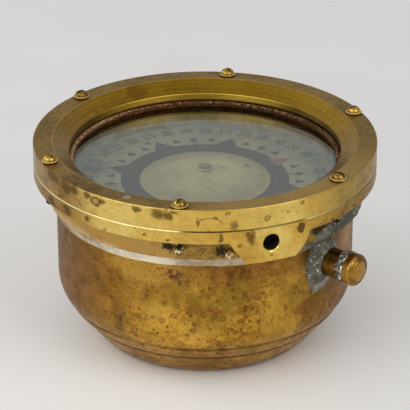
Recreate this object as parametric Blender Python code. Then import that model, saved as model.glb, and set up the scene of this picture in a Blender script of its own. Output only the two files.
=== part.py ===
"""Liquid boat compass without its gimbal ring: brass bowl, clamped glass, floating card.

Lengths are metres. The origin is the centre of the foot on the table, +Z is up, and the
gimbal axis runs along Y through the two pivot lugs of the flange.
"""

import math

import bmesh
import bpy
from mathutils import Matrix

for old in list(bpy.data.objects):
    bpy.data.objects.remove(old, do_unlink=True)

MM = 0.001

# Fits and facets
SEAT_GAP = 0.3 * MM
OVERCUT = 2.0 * MM
RING_SEGMENTS = 48
FLOAT_SEGMENTS = 32
HIDDEN_SEGMENTS = 24
ARC_STEPS = 4
DOME_STEPS = 3
TUBE_SEGMENTS = 24
STEM_SEGMENTS = 16
SCREW_SEGMENTS = 12
SHARP_ANGLE = math.radians(32)

# Bowl, spun from sheet brass
BOWL_RADIUS = 66.4 * MM
BOWL_WALL = 2.0 * MM
BOWL_RIM_HEIGHT = 73.45 * MM
SHOULDER_RADIUS = 18.0 * MM
CONE_LEAN = math.radians(38)
JOINT_HEIGHT = 19.4 * MM
FLOOR_THICKNESS = 2.0 * MM
FLOOR_WIDTH = 12.0 * MM

# Bottom cap with its bead, foot and vent
CAP_WALL = 1.8 * MM
BEAD_HEIGHT = 6.6 * MM
BEAD_PROUD = 0.5 * MM
GROOVE_DEPTH = 0.8 * MM
GROOVE_WIDTH = 0.9 * MM
FOOT_ROUND = 10.0 * MM
VENT_RADIUS = 1.5 * MM
LEDGE_THICKNESS = 1.6 * MM
LEDGE_LAP = 4.0 * MM

# Expansion diaphragm and ballast
DIAPHRAGM_THICKNESS = 0.6 * MM
DIAPHRAGM_LAP = 8.0 * MM
WAVE_COUNT = 3
WAVE_DEPTH = 1.6 * MM
WAVE_PITCH = 9.0 * MM
BALLAST_HEIGHT = 6.0 * MM
BALLAST_HOLE = 12.0 * MM
BALLAST_INSET = 3.0 * MM

# Flange ring with collar, glass seat and pivot lugs
COLLAR_WALL = 2.9 * MM
COLLAR_DEPTH = 10.2 * MM
FLANGE_THICKNESS = 5.8 * MM
LIP_THICKNESS = 2.0 * MM
LIP_WIDTH = 4.8 * MM
LUG_TOP_WIDTH = 36.6 * MM
LUG_BOTTOM_WIDTH = 23.0 * MM
PIVOT_RADIUS = 3.7 * MM
PIVOT_DEPTH = 7.5 * MM
PIVOT_BELOW_FLANGE = 1.8 * MM
PIVOT_CHAMFER = 0.5 * MM

# Glass and its packings
GLASS_INSET = 0.4 * MM
GLASS_SUNK = 1.0 * MM
GLASS_THICKNESS = 4.0 * MM
GLASS_CHAMFER = 0.5 * MM
GASKET_THICKNESS = 1.45 * MM
PACKING_THICKNESS = 1.25 * MM
PACKING_LIP_HEIGHT = 0.7 * MM
PACKING_SHOW = 1.8 * MM

# Bezel ring
BEZEL_HEIGHT = 9.45 * MM
BEZEL_EDGE = 0.6 * MM
BEVEL_WIDTH = 7.5 * MM
BEVEL_DEPTH = 4.8 * MM
GLASS_COVER = 6.0 * MM

# Bezel screws, round headed
SCREW_COUNT = 6
SCREW_LAND = 3.7 * MM
SCREW_EDGE_LAND = 3.7 * MM
SCREW_RADIUS = 2.0 * MM
SCREW_HEAD_RADIUS = 3.65 * MM
SCREW_HEAD_HEIGHT = 3.0 * MM
SCREW_HEAD_RIM = 0.6 * MM
SCREW_PROUD = 4.6 * MM
SCREW_POINT = 0.8 * MM
SLOT_WIDTH = 1.0 * MM
SLOT_DEPTH = 1.2 * MM
SLOT_TURN = math.radians(41)

# Soft solder under the collar
SEAM_HEIGHT = 4.75 * MM
SEAM_WIDTH = 2.6 * MM
SEAM_TOE = 0.3 * MM

# Filler neck, soldered shut
FILLER_AZIMUTH = math.radians(300)
FILLER_RADIUS = 6.35 * MM
FILLER_WALL = 2.0 * MM
FILLER_LENGTH = 17.4 * MM
FILLER_CAP_WALL = 0.5 * MM
FILLER_CAP_SKIRT = 2.7 * MM
FILLER_CAP_END = 2.0 * MM
FILLER_CAP_DOME = 1.7 * MM
CAP_SOLDER_WIDTH = 3.8 * MM
CAP_SOLDER_PROUD = 0.35 * MM
PATCH_ABOVE = 2.3 * MM
PATCH_BELOW = 3.6 * MM
PATCH_SIDE = 4.6 * MM
PATCH_THICK = 2.4 * MM
PATCH_THIN = 0.5 * MM
PATCH_RIPPLE = 0.12
PATCH_LOBES = 5

# Bridge, post and needle
BRIDGE_THICKNESS = 3.0 * MM
BRIDGE_HALF_WIDTH = 5.5 * MM
BRIDGE_LAP = 4.5 * MM
BRIDGE_SCREW_RADIUS = 1.5 * MM
BRIDGE_SCREW_HEAD = 3.0 * MM
BRIDGE_SCREW_HEAD_HEIGHT = 2.0 * MM
POST_FOOT_RADIUS = 5.0 * MM
POST_FOOT_HEIGHT = 2.4 * MM
POST_RADIUS = 3.2 * MM
POST_TOP_RADIUS = 2.3 * MM
NEEDLE_RADIUS = 0.8 * MM
NEEDLE_SOCKET = 4.0 * MM
NEEDLE_SHOWS = 4.5 * MM
NEEDLE_POINT = 2.0 * MM

# Card, float, jewel and magnets, which turn together
NORTH_TURN = math.radians(8.0)
CARD_BELOW_GLASS = 8.4 * MM
CARD_EDGE_GAP = 2.8 * MM
CARD_THICKNESS = 0.8 * MM
FLOAT_RADIUS = 28.9 * MM
FLOAT_RISE = 5.2 * MM
FLOAT_WALL = 0.8 * MM
FLOAT_BRIM = 2.6 * MM
FLOAT_DEPTH = 12.0 * MM
FLOAT_BASE_RADIUS = 20.0 * MM
WELL_RADIUS = 5.6 * MM
HOUSING_RADIUS = 2.9 * MM
HOUSING_FLANGE_RADIUS = 4.0 * MM
HOUSING_FLANGE_HEIGHT = 0.5 * MM
HOUSING_BUTTON_RADIUS = 2.7 * MM
HOUSING_BUTTON_HEIGHT = 0.4 * MM
JEWEL_RADIUS = 1.8 * MM
JEWEL_HEIGHT = 1.6 * MM
JEWEL_RECESS = 0.8 * MM
JEWEL_MOUTH = 0.9 * MM
HOUSING_SKIRT = 0.6 * MM
MAGNET_RADIUS = 2.5 * MM
MAGNET_LENGTH = 70.0 * MM
MAGNET_CHAMFER = 0.5 * MM
CLIP_WALL = 1.4 * MM
CLIP_LENGTH = 5.0 * MM
CLIP_SPREAD = 22.0 * MM
CLIP_FLOAT_GAP = 2.5 * MM

# Lubber strip, beside the edge of the card
LUBBER_WIDTH = 2.0 * MM
LUBBER_THICKNESS = 1.0 * MM
LUBBER_BELOW_CARD = 3.0 * MM
LUBBER_POINT = 2.0 * MM

# Heights, stacked from the foot
joint_z = JOINT_HEIGHT
floor_top = joint_z + FLOOR_THICKNESS
lip_bottom = BOWL_RIM_HEIGHT + SEAT_GAP
ledge_z = lip_bottom + LIP_THICKNESS
gasket_bottom = ledge_z + SEAT_GAP
gasket_top = gasket_bottom + GASKET_THICKNESS
glass_bottom = gasket_top + SEAT_GAP
glass_top = glass_bottom + GLASS_THICKNESS
flange_top = glass_top + GLASS_SUNK
flange_bottom = flange_top - FLANGE_THICKNESS
collar_bottom = flange_bottom - COLLAR_DEPTH
bezel_bottom = flange_top + SEAT_GAP
bezel_top = bezel_bottom + BEZEL_HEIGHT
packing_bottom = glass_top + SEAT_GAP
packing_top = packing_bottom + PACKING_THICKNESS
pivot_z = flange_bottom - PIVOT_BELOW_FLANGE
seam_top = collar_bottom - SEAT_GAP
seam_bottom = seam_top - SEAM_HEIGHT
card_top = glass_bottom - CARD_BELOW_GLASS
card_bottom = card_top - CARD_THICKNESS
dome_top = card_top + FLOAT_RISE

# Radii, worked outwards from the bowl
collar_bore = BOWL_RADIUS + SEAT_GAP
collar_radius = collar_bore + COLLAR_WALL
glass_radius = BOWL_RADIUS - GLASS_INSET
rebate_radius = glass_radius + SEAT_GAP
lip_radius = rebate_radius - LIP_WIDTH
screw_hole_radius = SCREW_RADIUS + SEAT_GAP
screw_circle = rebate_radius + SCREW_LAND + screw_hole_radius
rim_radius = screw_circle + SCREW_EDGE_LAND
window_radius = glass_radius - GLASS_COVER
card_radius = lip_radius - CARD_EDGE_GAP
shoulder_centre = (BOWL_RADIUS - SHOULDER_RADIUS, joint_z + SHOULDER_RADIUS * math.sin(CONE_LEAN))
joint_radius = shoulder_centre[0] + SHOULDER_RADIUS * math.cos(CONE_LEAN)
inner_shoulder = SHOULDER_RADIUS - BOWL_WALL
inner_lean = math.asin((shoulder_centre[1] - floor_top) / inner_shoulder)
floor_outer = shoulder_centre[0] + inner_shoulder * math.cos(inner_lean)
floor_opening = floor_outer - FLOOR_WIDTH
filler_hole_radius = FILLER_RADIUS + SEAT_GAP
filler_z = seam_bottom - SEAT_GAP - PATCH_ABOVE - filler_hole_radius


def finish(name, colour, roughness, metallic, alpha=1.0):
    """A plain surface finish: colour, roughness and how metallic it is."""
    material = bpy.data.materials.new(name)
    material.use_nodes = True
    shader = material.node_tree.nodes["Principled BSDF"]
    shader.inputs["Base Color"].default_value = (*colour, 1.0)
    shader.inputs["Roughness"].default_value = roughness
    shader.inputs["Metallic"].default_value = metallic
    shader.inputs["Alpha"].default_value = alpha
    material.diffuse_color = (*colour, alpha)
    return material


BRIGHT_BRASS = finish("bright_brass", (0.60, 0.41, 0.10), 0.34, 1.0)
BROWN_BRASS = finish("brown_brass", (0.36, 0.19, 0.05), 0.42, 1.0)
FILLER_BRASS = finish("filler_brass", (0.46, 0.30, 0.10), 0.45, 1.0)
SCREW_BRASS = finish("screw_brass", (0.33, 0.20, 0.08), 0.40, 1.0)
PLAIN_BRASS = finish("plain_brass", (0.50, 0.36, 0.14), 0.40, 1.0)
SOLDER = finish("soft_solder", (0.33, 0.32, 0.30), 0.55, 0.8)
LEAD = finish("lead", (0.16, 0.16, 0.17), 0.65, 0.8)
STEEL = finish("magnet_steel", (0.28, 0.28, 0.29), 0.35, 1.0)
GLASS = finish("window_glass", (0.80, 0.86, 0.82), 0.03, 0.0, 0.3)
PACKING = finish("perished_rubber", (0.060, 0.022, 0.012), 0.75, 0.0)
CARD_PAINT = finish("card_paint", (0.42, 0.43, 0.36), 0.55, 0.0)
FLOAT_PAINT = finish("float_paint", (0.50, 0.48, 0.37), 0.50, 0.0)
JEWEL = finish("sapphire", (0.55, 0.10, 0.16), 0.08, 0.0, 0.6)


def arc(centre, radius, start, end, steps):
    """Points on a circular arc in the profile plane, both ends included, angles from +X."""
    turns = [start + (end - start) * step / steps for step in range(steps + 1)]
    return [(centre[0] + radius * math.cos(a), centre[1] + radius * math.sin(a)) for a in turns]


def crown(radius, base, rise):
    """Points of a flattened dome in the profile plane, from its top on the axis to its rim."""
    turns = [math.pi / 2 * step / DOME_STEPS for step in range(DOME_STEPS + 1)]
    return [(radius * math.sin(turn), base + rise * math.cos(turn)) for turn in turns]


def turned(profile, segments):
    """Mesh turned about Z from a closed (radius, height) outline, or one that ends on the axis."""
    shape = bmesh.new()
    points = [shape.verts.new((radius, 0.0, height)) for radius, height in profile]
    edges = [shape.edges.new(pair) for pair in zip(points, points[1:])]
    if profile[0][0] > 0:
        edges.append(shape.edges.new((points[-1], points[0])))
    bmesh.ops.spin(
        shape, geom=points + edges, cent=(0, 0, 0), axis=(0, 0, 1),
        angle=math.tau, steps=segments, use_merge=True,
    )
    bmesh.ops.remove_doubles(shape, verts=shape.verts, dist=1e-7)
    return meshed(shape)


def extruded(outline, height):
    """Mesh of a flat (x, y) outline, drawn counter-clockwise, raised from z = 0."""
    shape = bmesh.new()
    face = shape.faces.new([shape.verts.new((x, y, 0.0)) for x, y in outline])
    raised = bmesh.ops.extrude_face_region(shape, geom=[face])["geom"]
    tops = [item for item in raised if isinstance(item, bmesh.types.BMVert)]
    bmesh.ops.translate(shape, verts=tops, vec=(0, 0, height))
    return meshed(shape)


def meshed(shape):
    """The finished mesh of a bmesh: faces outwards, smooth but for its sharp edges."""
    bmesh.ops.recalc_face_normals(shape, faces=shape.faces)
    mesh = bpy.data.meshes.new("shape")
    shape.to_mesh(mesh)
    shape.free()
    mesh.shade_smooth()
    mesh.set_sharp_from_angle(angle=SHARP_ANGLE)
    return mesh


def gathered(mesh, matrices):
    """One mesh holding a copy of the given one at each matrix."""
    shape = bmesh.new()
    for matrix in matrices:
        copy = mesh.copy()
        copy.transform(matrix)
        shape.from_mesh(copy)
        bpy.data.meshes.remove(copy)
    return meshed(shape)


def piece(name, mesh, material, parent=None):
    """A named sub-part with its own finish."""
    mesh.name = name
    part = bpy.data.objects.new(name, mesh)
    if not mesh.materials:
        mesh.materials.append(material)
    bpy.context.scene.collection.objects.link(part)
    part.parent = parent
    return part


def cutter(name, mesh):
    """A helper shape that only cuts."""
    tool = bpy.data.objects.new(name, mesh)
    bpy.context.scene.collection.objects.link(tool)
    tool.hide_render = True
    tool.display_type = "WIRE"
    return tool


def cut(part, tool):
    """Takes the tool's shape out of the part."""
    step = part.modifiers.new(tool.name, "BOOLEAN")
    step.operation = "DIFFERENCE"
    step.solver = "EXACT"
    step.object = tool


def shaped(part):
    """The part's mesh with its modifiers applied, for a shape that several parts share."""
    graph = bpy.context.evaluated_depsgraph_get()
    return bpy.data.meshes.new_from_object(part.evaluated_get(graph))


def around(radius, count, height=0.0):
    """Matrices at equal turns round Z, the first on +X."""
    turns = [Matrix.Rotation(math.tau * index / count, 4, "Z") for index in range(count)]
    return [turn @ Matrix.Translation((radius, 0.0, height)) for turn in turns]


def pointing(azimuth, height):
    """Matrix that lays local +Z along the level radius at this azimuth."""
    level = Matrix.Rotation(azimuth, 4, "Z") @ Matrix.Rotation(math.pi / 2, 4, "Y")
    return Matrix.Translation((0.0, 0.0, height)) @ level


def rod(radius, bottom, top, segments):
    """Plain cylinder mesh along Z."""
    return turned([(0.0, top), (radius, top), (radius, bottom), (0.0, bottom)], segments)


def cone_radius(height):
    """Outer radius of the cone below the shoulder."""
    return joint_radius - (joint_z - height) * math.tan(CONE_LEAN)


# Axis of the card: everything that turns hangs from it
card_axis = bpy.data.objects.new("card_axis", None)
card_axis.rotation_euler = (0.0, 0.0, NORTH_TURN)
bpy.context.scene.collection.objects.link(card_axis)

# Holes through bezel and flange for the bezel screws, turned half a facet off the rings' edges
screw_hole = rod(screw_hole_radius, collar_bottom, bezel_top + OVERCUT, SCREW_SEGMENTS)
screw_hole.transform(Matrix.Rotation(math.pi / SCREW_SEGMENTS, 4, "Z"))
screw_holes = cutter("screw_holes", gathered(screw_hole, around(screw_circle, SCREW_COUNT)))


def bezel_ring():
    """Clamping ring: flat rim, bevel down to the window, rebate for the packing beneath."""
    rebate_top = packing_top + SEAT_GAP
    profile = [
        (rim_radius, bezel_bottom),
        (rim_radius, bezel_top - BEZEL_EDGE),
        (rim_radius - BEZEL_EDGE, bezel_top),
        (window_radius + BEVEL_WIDTH, bezel_top),
        (window_radius, bezel_top - BEVEL_DEPTH),
        (window_radius, rebate_top),
        (glass_radius, rebate_top),
        (glass_radius, bezel_bottom),
    ]
    ring = piece("bezel_ring", turned(profile, RING_SEGMENTS), BRIGHT_BRASS)
    cut(ring, screw_holes)


def lug_gap(centre):
    """Cutter for the skirt between the two lugs, its ends slanted as the lugs' sides.

    Its count of facets is odd, so that none of its edges lies on an edge of the ring.
    """
    depth = COLLAR_DEPTH + OVERCUT
    spread = (LUG_TOP_WIDTH - LUG_BOTTOM_WIDTH) / COLLAR_DEPTH
    low_width = LUG_TOP_WIDTH - spread * depth
    high = math.pi / 2 - math.asin(LUG_TOP_WIDTH / 2 / rim_radius)
    low = math.pi / 2 - math.asin(low_width / 2 / rim_radius)
    reach = rim_radius + OVERCUT
    corners = [
        (collar_radius, high, flange_bottom),
        (reach, high, flange_bottom),
        (reach, low, flange_bottom - depth),
        (collar_radius, low, flange_bottom - depth),
    ]
    shape = bmesh.new()
    steps = RING_SEGMENTS // 2 + 1
    rows = []
    for step in range(steps + 1):
        share = 2 * step / steps - 1
        turns = [(radius, centre + half * share, height) for radius, half, height in corners]
        rows.append([
            shape.verts.new((radius * math.cos(turn), radius * math.sin(turn), height))
            for radius, turn, height in turns
        ])
    for row, following in zip(rows, rows[1:]):
        for side in range(4):
            after = (side + 1) % 4
            shape.faces.new((row[side], row[after], following[after], following[side]))
    shape.faces.new(rows[0])
    shape.faces.new(rows[-1])
    return meshed(shape)


def flange_ring():
    """Cast ring soldered on the bowl: glass seat, collar and two lugs with blind pivot sockets."""
    profile = [
        (rim_radius, flange_top),
        (rim_radius, collar_bottom),
        (collar_bore, collar_bottom),
        (collar_bore, lip_bottom),
        (lip_radius, lip_bottom),
        (lip_radius, ledge_z),
        (rebate_radius, ledge_z),
        (rebate_radius, flange_top),
    ]
    ring = piece("flange_ring", turned(profile, RING_SEGMENTS), BRIGHT_BRASS)
    for name, azimuth in (("skirt_gap_right", 0.0), ("skirt_gap_left", math.pi)):
        cut(ring, cutter(name, lug_gap(azimuth)))
    cut(ring, screw_holes)
    mouth = rim_radius - PIVOT_CHAMFER
    socket = [
        (0.0, rim_radius + OVERCUT),
        (PIVOT_RADIUS + PIVOT_CHAMFER + OVERCUT, rim_radius + OVERCUT),
        (PIVOT_RADIUS, mouth),
        (PIVOT_RADIUS, rim_radius - PIVOT_DEPTH),
        (0.0, rim_radius - PIVOT_DEPTH),
    ]
    places = [pointing(azimuth, pivot_z) for azimuth in (-math.pi / 2, math.pi / 2)]
    cut(ring, cutter("pivot_sockets", gathered(turned(socket, STEM_SEGMENTS), places)))


def bowl_body():
    """Spun shell: straight side, round shoulder, flat floor ring for the diaphragm."""
    profile = [(BOWL_RADIUS, BOWL_RIM_HEIGHT)]
    profile += arc(shoulder_centre, SHOULDER_RADIUS, 0.0, -CONE_LEAN, ARC_STEPS)
    profile += [(floor_opening, joint_z), (floor_opening, floor_top)]
    profile += arc(shoulder_centre, inner_shoulder, -inner_lean, 0.0, ARC_STEPS)
    profile += [(BOWL_RADIUS - BOWL_WALL, BOWL_RIM_HEIGHT)]
    shell = piece("bowl_body", turned(profile, RING_SEGMENTS), BROWN_BRASS)
    bore = rod(filler_hole_radius, shoulder_centre[0], rim_radius, TUBE_SEGMENTS)
    cut(shell, cutter("filler_hole", gathered(bore, [pointing(FILLER_AZIMUTH, filler_z)])))
    thread = rod(BRIDGE_SCREW_RADIUS + SEAT_GAP, joint_z - OVERCUT, floor_top + OVERCUT, SCREW_SEGMENTS)
    places = around(floor_opening + BRIDGE_LAP, 2)
    cut(shell, cutter("bridge_screw_holes", gathered(thread, places)))


cap_top = joint_z - SEAT_GAP
diaphragm_bottom = cap_top - DIAPHRAGM_THICKNESS
diaphragm_radius = floor_opening + DIAPHRAGM_LAP
cap_ledge = diaphragm_bottom - SEAT_GAP


def bottom_cap():
    """Spun cover under the diaphragm: beaded rim, cone, rounded foot and a breathing hole."""
    profile = [(cone_radius(cap_top) - GROOVE_DEPTH, cap_top)]
    for step in range(1, ARC_STEPS):
        share = step / ARC_STEPS
        height = cap_top - BEAD_HEIGHT * share
        profile.append((cone_radius(height) + BEAD_PROUD * math.sin(math.pi * share), height))
    groove_z = cap_top - BEAD_HEIGHT
    profile.append((cone_radius(groove_z) - GROOVE_DEPTH, groove_z))
    profile.append((cone_radius(groove_z - GROOVE_WIDTH), groove_z - GROOVE_WIDTH))
    corner = (math.pi / 2 - CONE_LEAN) / 2
    foot_centre = (cone_radius(0.0) - FOOT_ROUND * math.tan(corner), FOOT_ROUND)
    profile += arc(foot_centre, FOOT_ROUND, -CONE_LEAN, -math.pi / 2, ARC_STEPS)
    inner = CAP_WALL / math.cos(CONE_LEAN)
    shelf = cap_ledge - LEDGE_THICKNESS
    ledge_radius = diaphragm_radius - LEDGE_LAP
    profile += [
        (VENT_RADIUS, 0.0),
        (VENT_RADIUS, CAP_WALL),
        (cone_radius(CAP_WALL) - inner, CAP_WALL),
        (cone_radius(shelf) - inner, shelf),
        (ledge_radius, shelf),
        (ledge_radius, cap_ledge),
        (diaphragm_radius + SEAT_GAP, cap_ledge),
        (diaphragm_radius + SEAT_GAP, cap_top),
    ]
    piece("bottom_cap", turned(profile, RING_SEGMENTS), BROWN_BRASS)


def expansion_diaphragm():
    """Thin corrugated disc that gives way as the liquid swells."""
    outer = floor_opening - WAVE_PITCH / 2
    lower = [(0.0, diaphragm_bottom)]
    for crest in range(2 * WAVE_COUNT, -1, -1):
        sink = WAVE_DEPTH * (crest % 2)
        lower.append((outer - crest * WAVE_PITCH / 2, diaphragm_bottom - sink))
    lower.append((diaphragm_radius, diaphragm_bottom))
    upper = [(radius, height + DIAPHRAGM_THICKNESS) for radius, height in reversed(lower)]
    piece("expansion_diaphragm", turned(lower + upper, HIDDEN_SEGMENTS), PLAIN_BRASS)


def ballast_weight():
    """Lead ring lying in the bottom cap, which keeps the bowl level."""
    bottom = CAP_WALL + SEAT_GAP
    top = bottom + BALLAST_HEIGHT
    outer = cone_radius(CAP_WALL) - CAP_WALL / math.cos(CONE_LEAN) - BALLAST_INSET
    profile = [(outer, top), (outer, bottom), (BALLAST_HOLE, bottom), (BALLAST_HOLE, top)]
    piece("ballast_weight", turned(profile, HIDDEN_SEGMENTS), LEAD)


def cover_glass():
    """Round plate glass with ground edges."""
    profile = [
        (0.0, glass_top),
        (glass_radius - GLASS_CHAMFER, glass_top),
        (glass_radius, glass_top - GLASS_CHAMFER),
        (glass_radius, glass_bottom + GLASS_CHAMFER),
        (glass_radius - GLASS_CHAMFER, glass_bottom),
        (0.0, glass_bottom),
    ]
    piece("cover_glass", turned(profile, RING_SEGMENTS), GLASS)


def lower_gasket():
    """Flat ring between the flange's ledge and the glass."""
    outer = rebate_radius - SEAT_GAP
    profile = [
        (outer, gasket_top),
        (outer, gasket_bottom),
        (lip_radius, gasket_bottom),
        (lip_radius, gasket_top),
    ]
    piece("lower_gasket", turned(profile, RING_SEGMENTS), PACKING)


def upper_packing():
    """Packing pressed between bezel and glass, squeezed up into a lip inside the window."""
    inner = window_radius - PACKING_SHOW
    step = window_radius - SEAT_GAP
    outer = glass_radius - SEAT_GAP
    profile = [
        (outer, packing_top),
        (outer, packing_bottom),
        (inner, packing_bottom),
        (inner, packing_top + PACKING_LIP_HEIGHT),
        (step, packing_top + PACKING_LIP_HEIGHT),
        (step, packing_top),
    ]
    piece("upper_packing", turned(profile, RING_SEGMENTS), PACKING)


def seam_solder():
    """Solder fillet between the bowl and the underside of the collar."""
    profile = [(collar_bore, seam_bottom), (collar_bore, seam_top)]
    for step in range(ARC_STEPS):
        turn = math.pi / 2 * step / ARC_STEPS
        reach = SEAM_WIDTH * (1 - math.sin(turn)) + SEAM_TOE * math.sin(turn)
        profile.append((collar_bore + reach, seam_bottom + SEAM_HEIGHT * math.cos(turn)))
    profile.append((collar_bore + SEAM_TOE, seam_bottom))
    piece("seam_solder", turned(profile, RING_SEGMENTS), SOLDER)


def bezel_screws():
    """Round-headed slotted screws through the bezel, their points showing under the flange."""
    reach = bezel_top + SEAT_GAP - flange_bottom + SCREW_PROUD
    profile = crown(SCREW_HEAD_RADIUS, SCREW_HEAD_RIM, SCREW_HEAD_HEIGHT - SCREW_HEAD_RIM)
    profile += [
        (SCREW_HEAD_RADIUS, 0.0),
        (SCREW_RADIUS, 0.0),
        (SCREW_RADIUS, SCREW_POINT - reach),
        (SCREW_RADIUS - SCREW_POINT, -reach),
        (0.0, -reach),
    ]
    model = piece("bezel_screw_model", turned(profile, SCREW_SEGMENTS), SCREW_BRASS)
    long = SCREW_HEAD_RADIUS + OVERCUT
    half = SLOT_WIDTH / 2
    slot = extruded([(-long, -half), (long, -half), (long, half), (-long, half)], SLOT_DEPTH + OVERCUT)
    slot.transform(Matrix.Translation((0.0, 0.0, SCREW_HEAD_HEIGHT - SLOT_DEPTH)))
    slot_cutter = cutter("screw_slot", slot)
    cut(model, slot_cutter)
    mesh = shaped(model)
    bpy.data.objects.remove(model)
    bpy.data.objects.remove(slot_cutter)
    for index, place in enumerate(around(screw_circle, SCREW_COUNT, bezel_top + SEAT_GAP)):
        screw = piece(f"bezel_screw_{index + 1}", mesh, SCREW_BRASS)
        screw.matrix_world = place @ Matrix.Rotation(SLOT_TURN * index, 4, "Z")


filler_start = BOWL_RADIUS - BOWL_WALL + SEAT_GAP
filler_end = filler_start + FILLER_LENGTH
filler_cap_floor = filler_end + SEAT_GAP
filler_cap_mouth = filler_cap_floor - FILLER_CAP_SKIRT


def filler_neck():
    """Filler tube through the bowl's wall, its cap and the ring of solder that seals the cap."""
    place = pointing(FILLER_AZIMUTH, filler_z)
    bore = FILLER_RADIUS - FILLER_WALL
    tube = [
        (FILLER_RADIUS, filler_end),
        (FILLER_RADIUS, filler_start),
        (bore, filler_start),
        (bore, filler_end),
    ]
    cap_outer = filler_hole_radius + FILLER_CAP_WALL
    cap_shoulder = filler_cap_floor + FILLER_CAP_END - FILLER_CAP_DOME
    cap = crown(cap_outer, cap_shoulder, FILLER_CAP_DOME)
    cap += [
        (cap_outer, filler_cap_mouth),
        (filler_hole_radius, filler_cap_mouth),
        (filler_hole_radius, filler_cap_floor),
        (0.0, filler_cap_floor),
    ]
    ring_top = filler_cap_mouth - SEAT_GAP
    ring_bottom = ring_top - CAP_SOLDER_WIDTH
    ring = [
        (filler_hole_radius, ring_top),
        (cap_outer, ring_top),
        (filler_hole_radius + CAP_SOLDER_PROUD, ring_bottom),
        (filler_hole_radius, ring_bottom),
    ]
    for name, profile, material in (
        ("filler_tube", tube, PLAIN_BRASS),
        ("filler_cap", cap, FILLER_BRASS),
        ("filler_cap_solder", ring, SOLDER),
    ):
        mesh = turned(profile, TUBE_SEGMENTS)
        mesh.transform(place)
        piece(name, mesh, material)


def filler_solder():
    """Uneven patch of solder round the foot of the filler tube, following the bowl's wall."""
    shape = bmesh.new()
    base = BOWL_RADIUS + SEAT_GAP
    rows = []
    for step in range(TUBE_SEGMENTS):
        turn = math.tau * step / TUBE_SEGMENTS
        upright = PATCH_ABOVE if math.sin(turn) > 0 else PATCH_BELOW
        spread = PATCH_SIDE * math.cos(turn) ** 2 + upright * math.sin(turn) ** 2
        spread *= 1 - PATCH_RIPPLE * (1 + math.sin(PATCH_LOBES * turn))
        row = []
        section = ((0.0, 0.0), (1.0, 0.0), (1.0, PATCH_THIN), (0.5, PATCH_THICK / 2), (0.0, PATCH_THICK))
        for share, thick in section:
            reach = filler_hole_radius + spread * share
            azimuth = FILLER_AZIMUTH + reach * math.cos(turn) / base
            radius = base + thick
            height = filler_z + reach * math.sin(turn)
            row.append(shape.verts.new((radius * math.cos(azimuth), radius * math.sin(azimuth), height)))
        rows.append(row)
    for row, following in zip(rows, rows[1:] + rows[:1]):
        for side in range(len(row)):
            after = (side + 1) % len(row)
            shape.faces.new((row[side], row[after], following[after], following[side]))
    piece("filler_solder", meshed(shape), SOLDER)


bridge_bottom = floor_top + SEAT_GAP
bridge_top = bridge_bottom + BRIDGE_THICKNESS
bridge_screw_x = floor_opening + BRIDGE_LAP


def pivot_bridge():
    """Flat bar across the floor of the bowl that carries the pivot post."""
    right = arc((bridge_screw_x, 0.0), BRIDGE_HALF_WIDTH, -math.pi / 2, math.pi / 2, 2 * ARC_STEPS)
    left = arc((-bridge_screw_x, 0.0), BRIDGE_HALF_WIDTH, math.pi / 2, 3 * math.pi / 2, 2 * ARC_STEPS)
    mesh = extruded(right + left, BRIDGE_THICKNESS)
    mesh.transform(Matrix.Translation((0.0, 0.0, bridge_bottom)))
    bar = piece("pivot_bridge", mesh, PLAIN_BRASS)
    hole = rod(BRIDGE_SCREW_RADIUS + SEAT_GAP, bridge_bottom - OVERCUT, bridge_top + OVERCUT, SCREW_SEGMENTS)
    cut(bar, cutter("bridge_holes", gathered(hole, around(bridge_screw_x, 2))))
    seat = bridge_top + SEAT_GAP
    profile = [
        (0.0, seat + BRIDGE_SCREW_HEAD_HEIGHT),
        (BRIDGE_SCREW_HEAD, seat + BRIDGE_SCREW_HEAD_HEIGHT),
        (BRIDGE_SCREW_HEAD, seat),
        (BRIDGE_SCREW_RADIUS, seat),
        (BRIDGE_SCREW_RADIUS, joint_z + SEAT_GAP),
        (0.0, joint_z + SEAT_GAP),
    ]
    mesh = turned(profile, SCREW_SEGMENTS)
    for index, place in enumerate(around(bridge_screw_x, 2)):
        screw = piece(f"bridge_screw_{index + 1}", mesh, PLAIN_BRASS)
        screw.matrix_world = place


housing_seat = dome_top + SEAT_GAP
jewel_top = housing_seat - SEAT_GAP
jewel_bottom = jewel_top - JEWEL_HEIGHT
needle_tip = jewel_bottom + JEWEL_RECESS - SEAT_GAP
post_top = needle_tip - NEEDLE_SHOWS


def pivot_post():
    """Turned post on the bridge with the hard needle let into its top."""
    foot = bridge_top + SEAT_GAP
    bore = NEEDLE_RADIUS + SEAT_GAP
    socket = post_top - NEEDLE_SOCKET
    profile = [
        (0.0, foot),
        (POST_FOOT_RADIUS, foot),
        (POST_FOOT_RADIUS, foot + POST_FOOT_HEIGHT),
        (POST_RADIUS, foot + POST_FOOT_HEIGHT),
        (POST_TOP_RADIUS, post_top),
        (bore, post_top),
        (bore, socket),
        (0.0, socket),
    ]
    piece("pivot_post", turned(profile, STEM_SEGMENTS), PLAIN_BRASS)
    needle = [
        (0.0, needle_tip),
        (NEEDLE_RADIUS, needle_tip - NEEDLE_POINT),
        (NEEDLE_RADIUS, socket + SEAT_GAP),
        (0.0, socket + SEAT_GAP),
    ]
    piece("pivot_needle", turned(needle, SCREW_SEGMENTS), STEEL)


housing_hole = HOUSING_RADIUS + SEAT_GAP
dome_sphere = (FLOAT_RADIUS**2 + FLOAT_RISE**2) / (2 * FLOAT_RISE)


def dome_height(radius):
    """Height of the float's dome over the card at this radius."""
    return dome_top - dome_sphere + math.sqrt(dome_sphere**2 - radius**2)


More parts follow.
